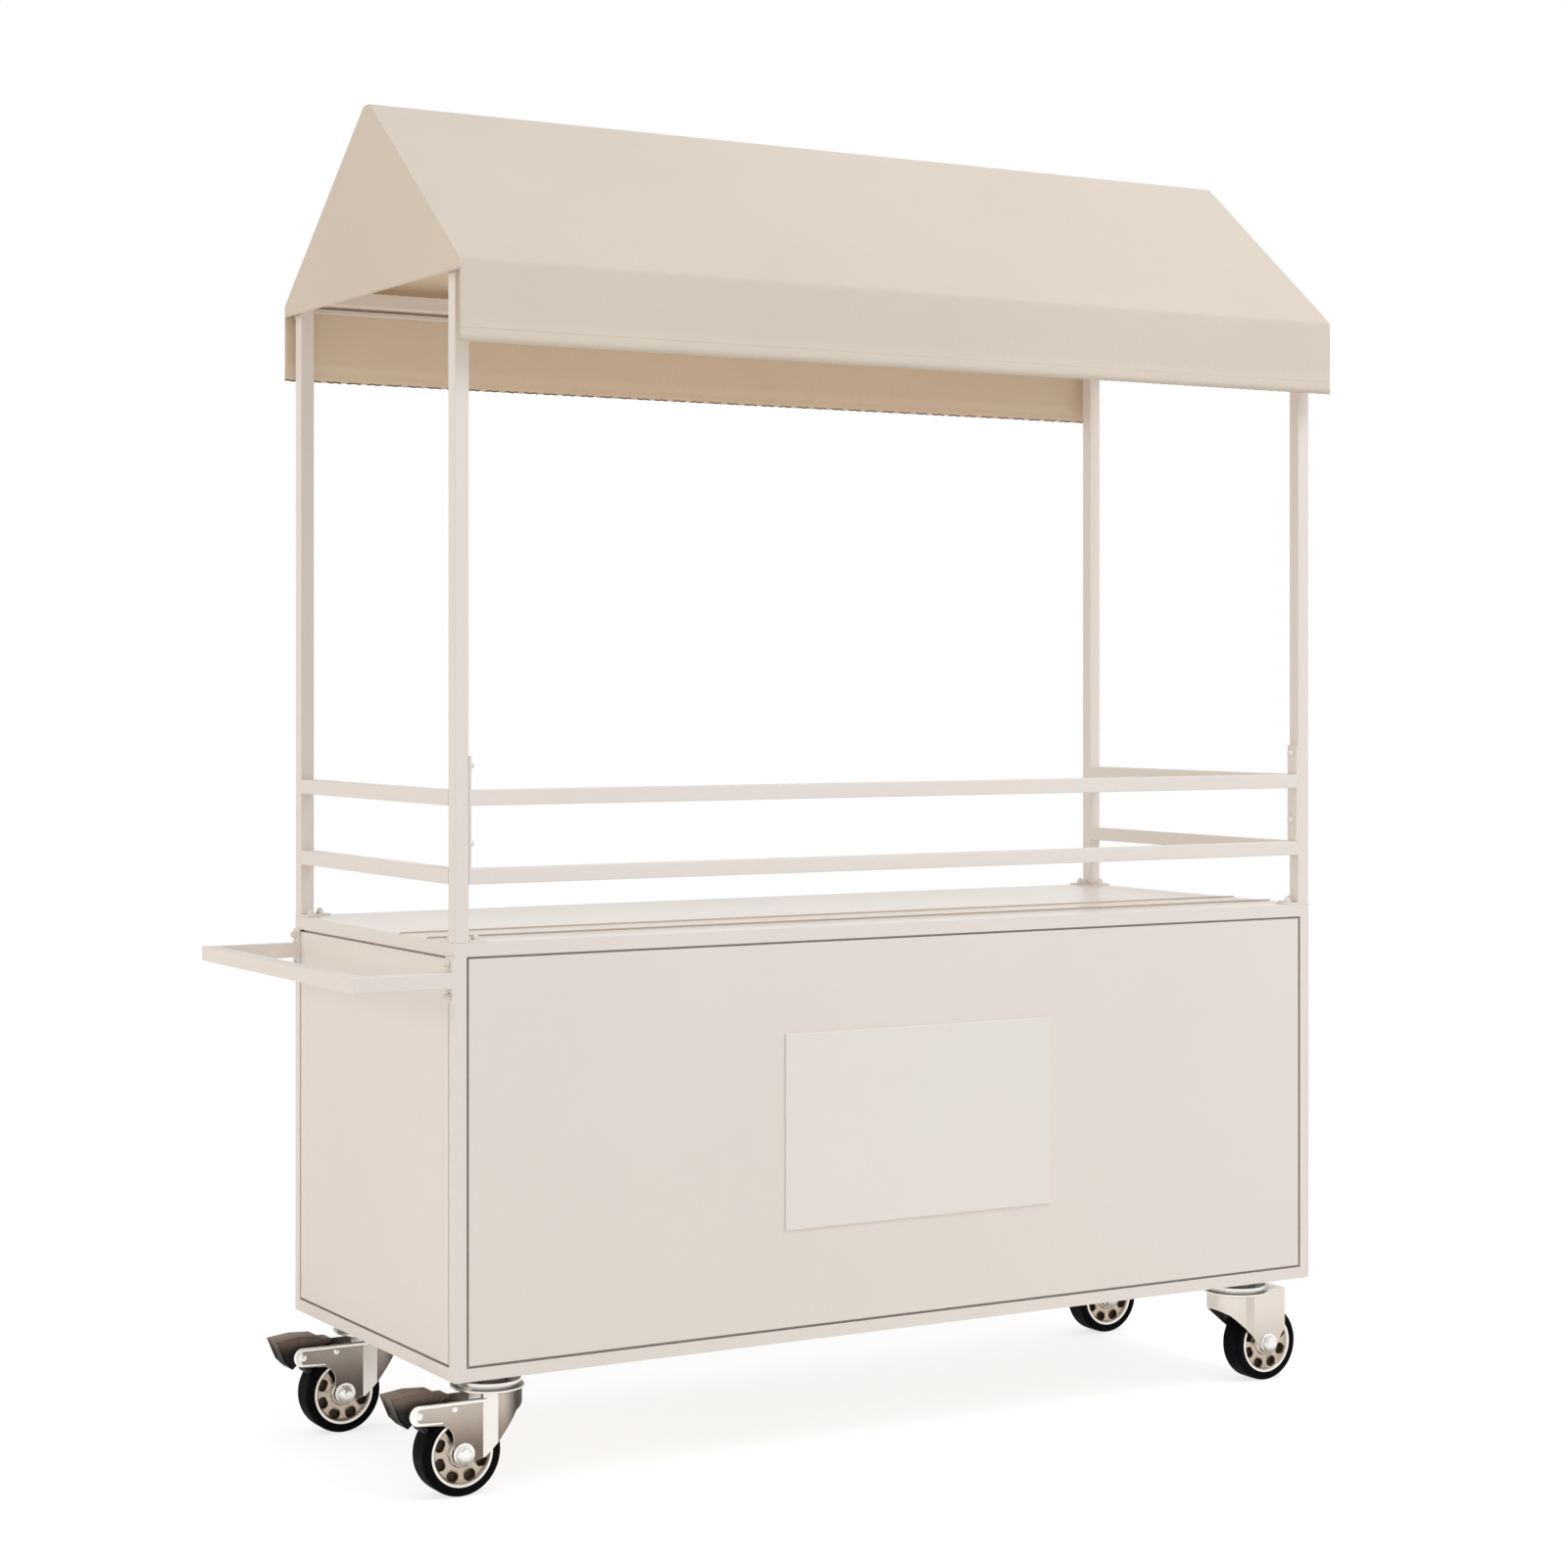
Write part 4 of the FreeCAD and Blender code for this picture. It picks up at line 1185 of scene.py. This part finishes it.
def light():
    """A white sky, a soft key from the front right and a weak fill from the left."""
    world = bpy.data.worlds.new("sky")
    bpy.context.scene.world = world
    world.use_nodes = True
    tree = world.node_tree
    seen = tree.nodes["Background"]
    seen.inputs["Color"].default_value = (1, 1, 1, 1)
    seen.inputs["Strength"].default_value = 1.0
    sky = tree.nodes.new("ShaderNodeBackground")
    sky.inputs["Color"].default_value = (1, 1, 1, 1)
    sky.inputs["Strength"].default_value = sky_strength
    mixer = tree.nodes.new("ShaderNodeMixShader")
    tree.links.new(seen_directly(tree), mixer.inputs["Fac"])
    tree.links.new(sky.outputs["Background"], mixer.inputs[1])
    tree.links.new(seen.outputs["Background"], mixer.inputs[2])
    tree.links.new(mixer.outputs["Shader"], tree.nodes["World Output"].inputs["Surface"])
    area_lamp("key", key_place, key_size, key_power, key_colour)
    area_lamp("fill", fill_place, fill_size, fill_power, fill_colour)


def camera():
    """The photograph's camera: level, with the frame shifted as the photograph's is."""
    lens = bpy.data.cameras.new("camera")
    lens.lens = camera_lens
    lens.sensor_width = sensor_width
    lens.shift_x = camera_shift_x
    lens.shift_y = camera_shift_y
    lens.clip_end = 2 * backdrop_half
    holder = bpy.data.objects.new("camera", lens)
    bpy.context.scene.collection.objects.link(holder)
    holder.location = camera_place
    holder.rotation_euler = (math.pi / 2, 0, -math.radians(camera_turn))
    bpy.context.scene.camera = holder


def build():
    """Every material and piece of the scene."""
    camera()
    light()
    floor()
    joints = [corner.y for corner in node_box("counter_middle_board")]
    materials = {"paint": paint("cream_paint", cream, paint_roughness),
                 "plate": paint("plate_paint", plate_white, plate_roughness),
                 "counter": paint("counter_paint", cream, counter_roughness, joints),
                 # Caster tops in pale zinc, lighter upwards towards the highlight white as painted light
                 "zinc": metal("zinc_light", zinc_pale, zinc_highlight, bright_roughness)}
    # Near-white metal for painted highlights on the forks' edges and crowns and the rims' lips and hubs
    bright = metal("zinc_highlight", zinc_pale, zinc_highlight, bright_roughness, relief=faint_relief)
    # Near-white metal for the painted highlight of the arms' rolled edges
    edge_white = metal("zinc_white", zinc_highlight, nut_bright, white_roughness, relief=faintest_relief)
    # A tone a little darker than the right forks' legs: painted shade on their step
    step_metal = metal("zinc_step", zinc_lit_low, zinc_high, zinc_roughness, relief=faint_relief)
    # Axle nuts and rivets: painted shade below, near-white painted highlight above
    nut_metal = metal("axle_nut_metal", nut_shade, nut_bright, bright_roughness, nut_low, nut_high,
                      relief=faint_relief)
    hub_box = node_box("caster_rim_front_left")
    nose_x = (hub_box[0].x + hub_box[1].x) / 2 + wheel_trail
    nose = (nose_x + nose_start, nose_x + nose_end)
    # Lit and shaded copies of one zinc plating for the forks, darker at the foot of each leg as painted shade
    leg = (zinc_roughness, leg_low, leg_high, leg_grain)
    shaded_metal = metal("zinc_shaded", zinc_low, zinc_high, *leg, nose=nose)
    dim_metal = metal("zinc_dim", zinc_dim_low, zinc_dim_high, *leg, nose=nose)
    lit_metal = metal("zinc_lit", zinc_lit_low, zinc_lit_high, *leg)
    fork_metal = {"front_left": (shaded_metal, bright), "rear_left": (dim_metal, bright),
                  "front_right": (lit_metal, step_metal), "rear_right": (lit_metal, step_metal)}
    # Rim darker towards the bottom of the wheel, a painted shade
    rim_metal = metal("rim_metal", recess_dark, aluminium, rim_roughness, -wheel_shade, wheel_shade)
    # Flat dark for the inside of the rim's recesses, a painted shade
    dark = plastic("recess_dark", recess_dark, recess_dark)
    tyre_rubber = rubber("tyre_rubber")
    pedal_plastic = plastic("pedal_plastic", pedal_low, pedal_high, pedal_shade_low, pedal_shade_high)
    dress_nodes(materials)
    canopy_cover()
    for corner in ("front_left", "rear_left", "front_right", "rear_right"):
        tyre(corner, tyre_rubber)
        rim(corner, rim_metal, dark, bright)
        leg_metal, step = fork_metal[corner]
        fork(corner, leg_metal, bright, step)
        axle(corner, nut_metal)
        if corner.endswith("left"):
            arm_bead(corner, edge_white)
            pedal(corner, pedal_plastic)
    seal_finish = plastic("joint_seal", joint_brown, joint_brown)
    for name, joint in zip(("counter_seal_front", "counter_seal_rear"), joints):
        counter_seal(name, joint, seal_finish)
    nut_finish = paint("nut_paint", nut_cream, nut_roughness)
    dome_nuts("post_foot_nuts", "foot_nuts", nut_finish, lambda middle: Vector((0, 0, 1)))
    dome_nuts("front_rail_nuts", "rail_nuts", nut_finish,
              lambda middle: Vector((-math.copysign(1, middle.x), 0, 0)))
    dome_nuts("handle_nuts", "handle_bolts", nut_finish, lambda middle: Vector((-1, 0, 0)))


build()
bpy.context.scene.view_settings.view_transform = "Standard"
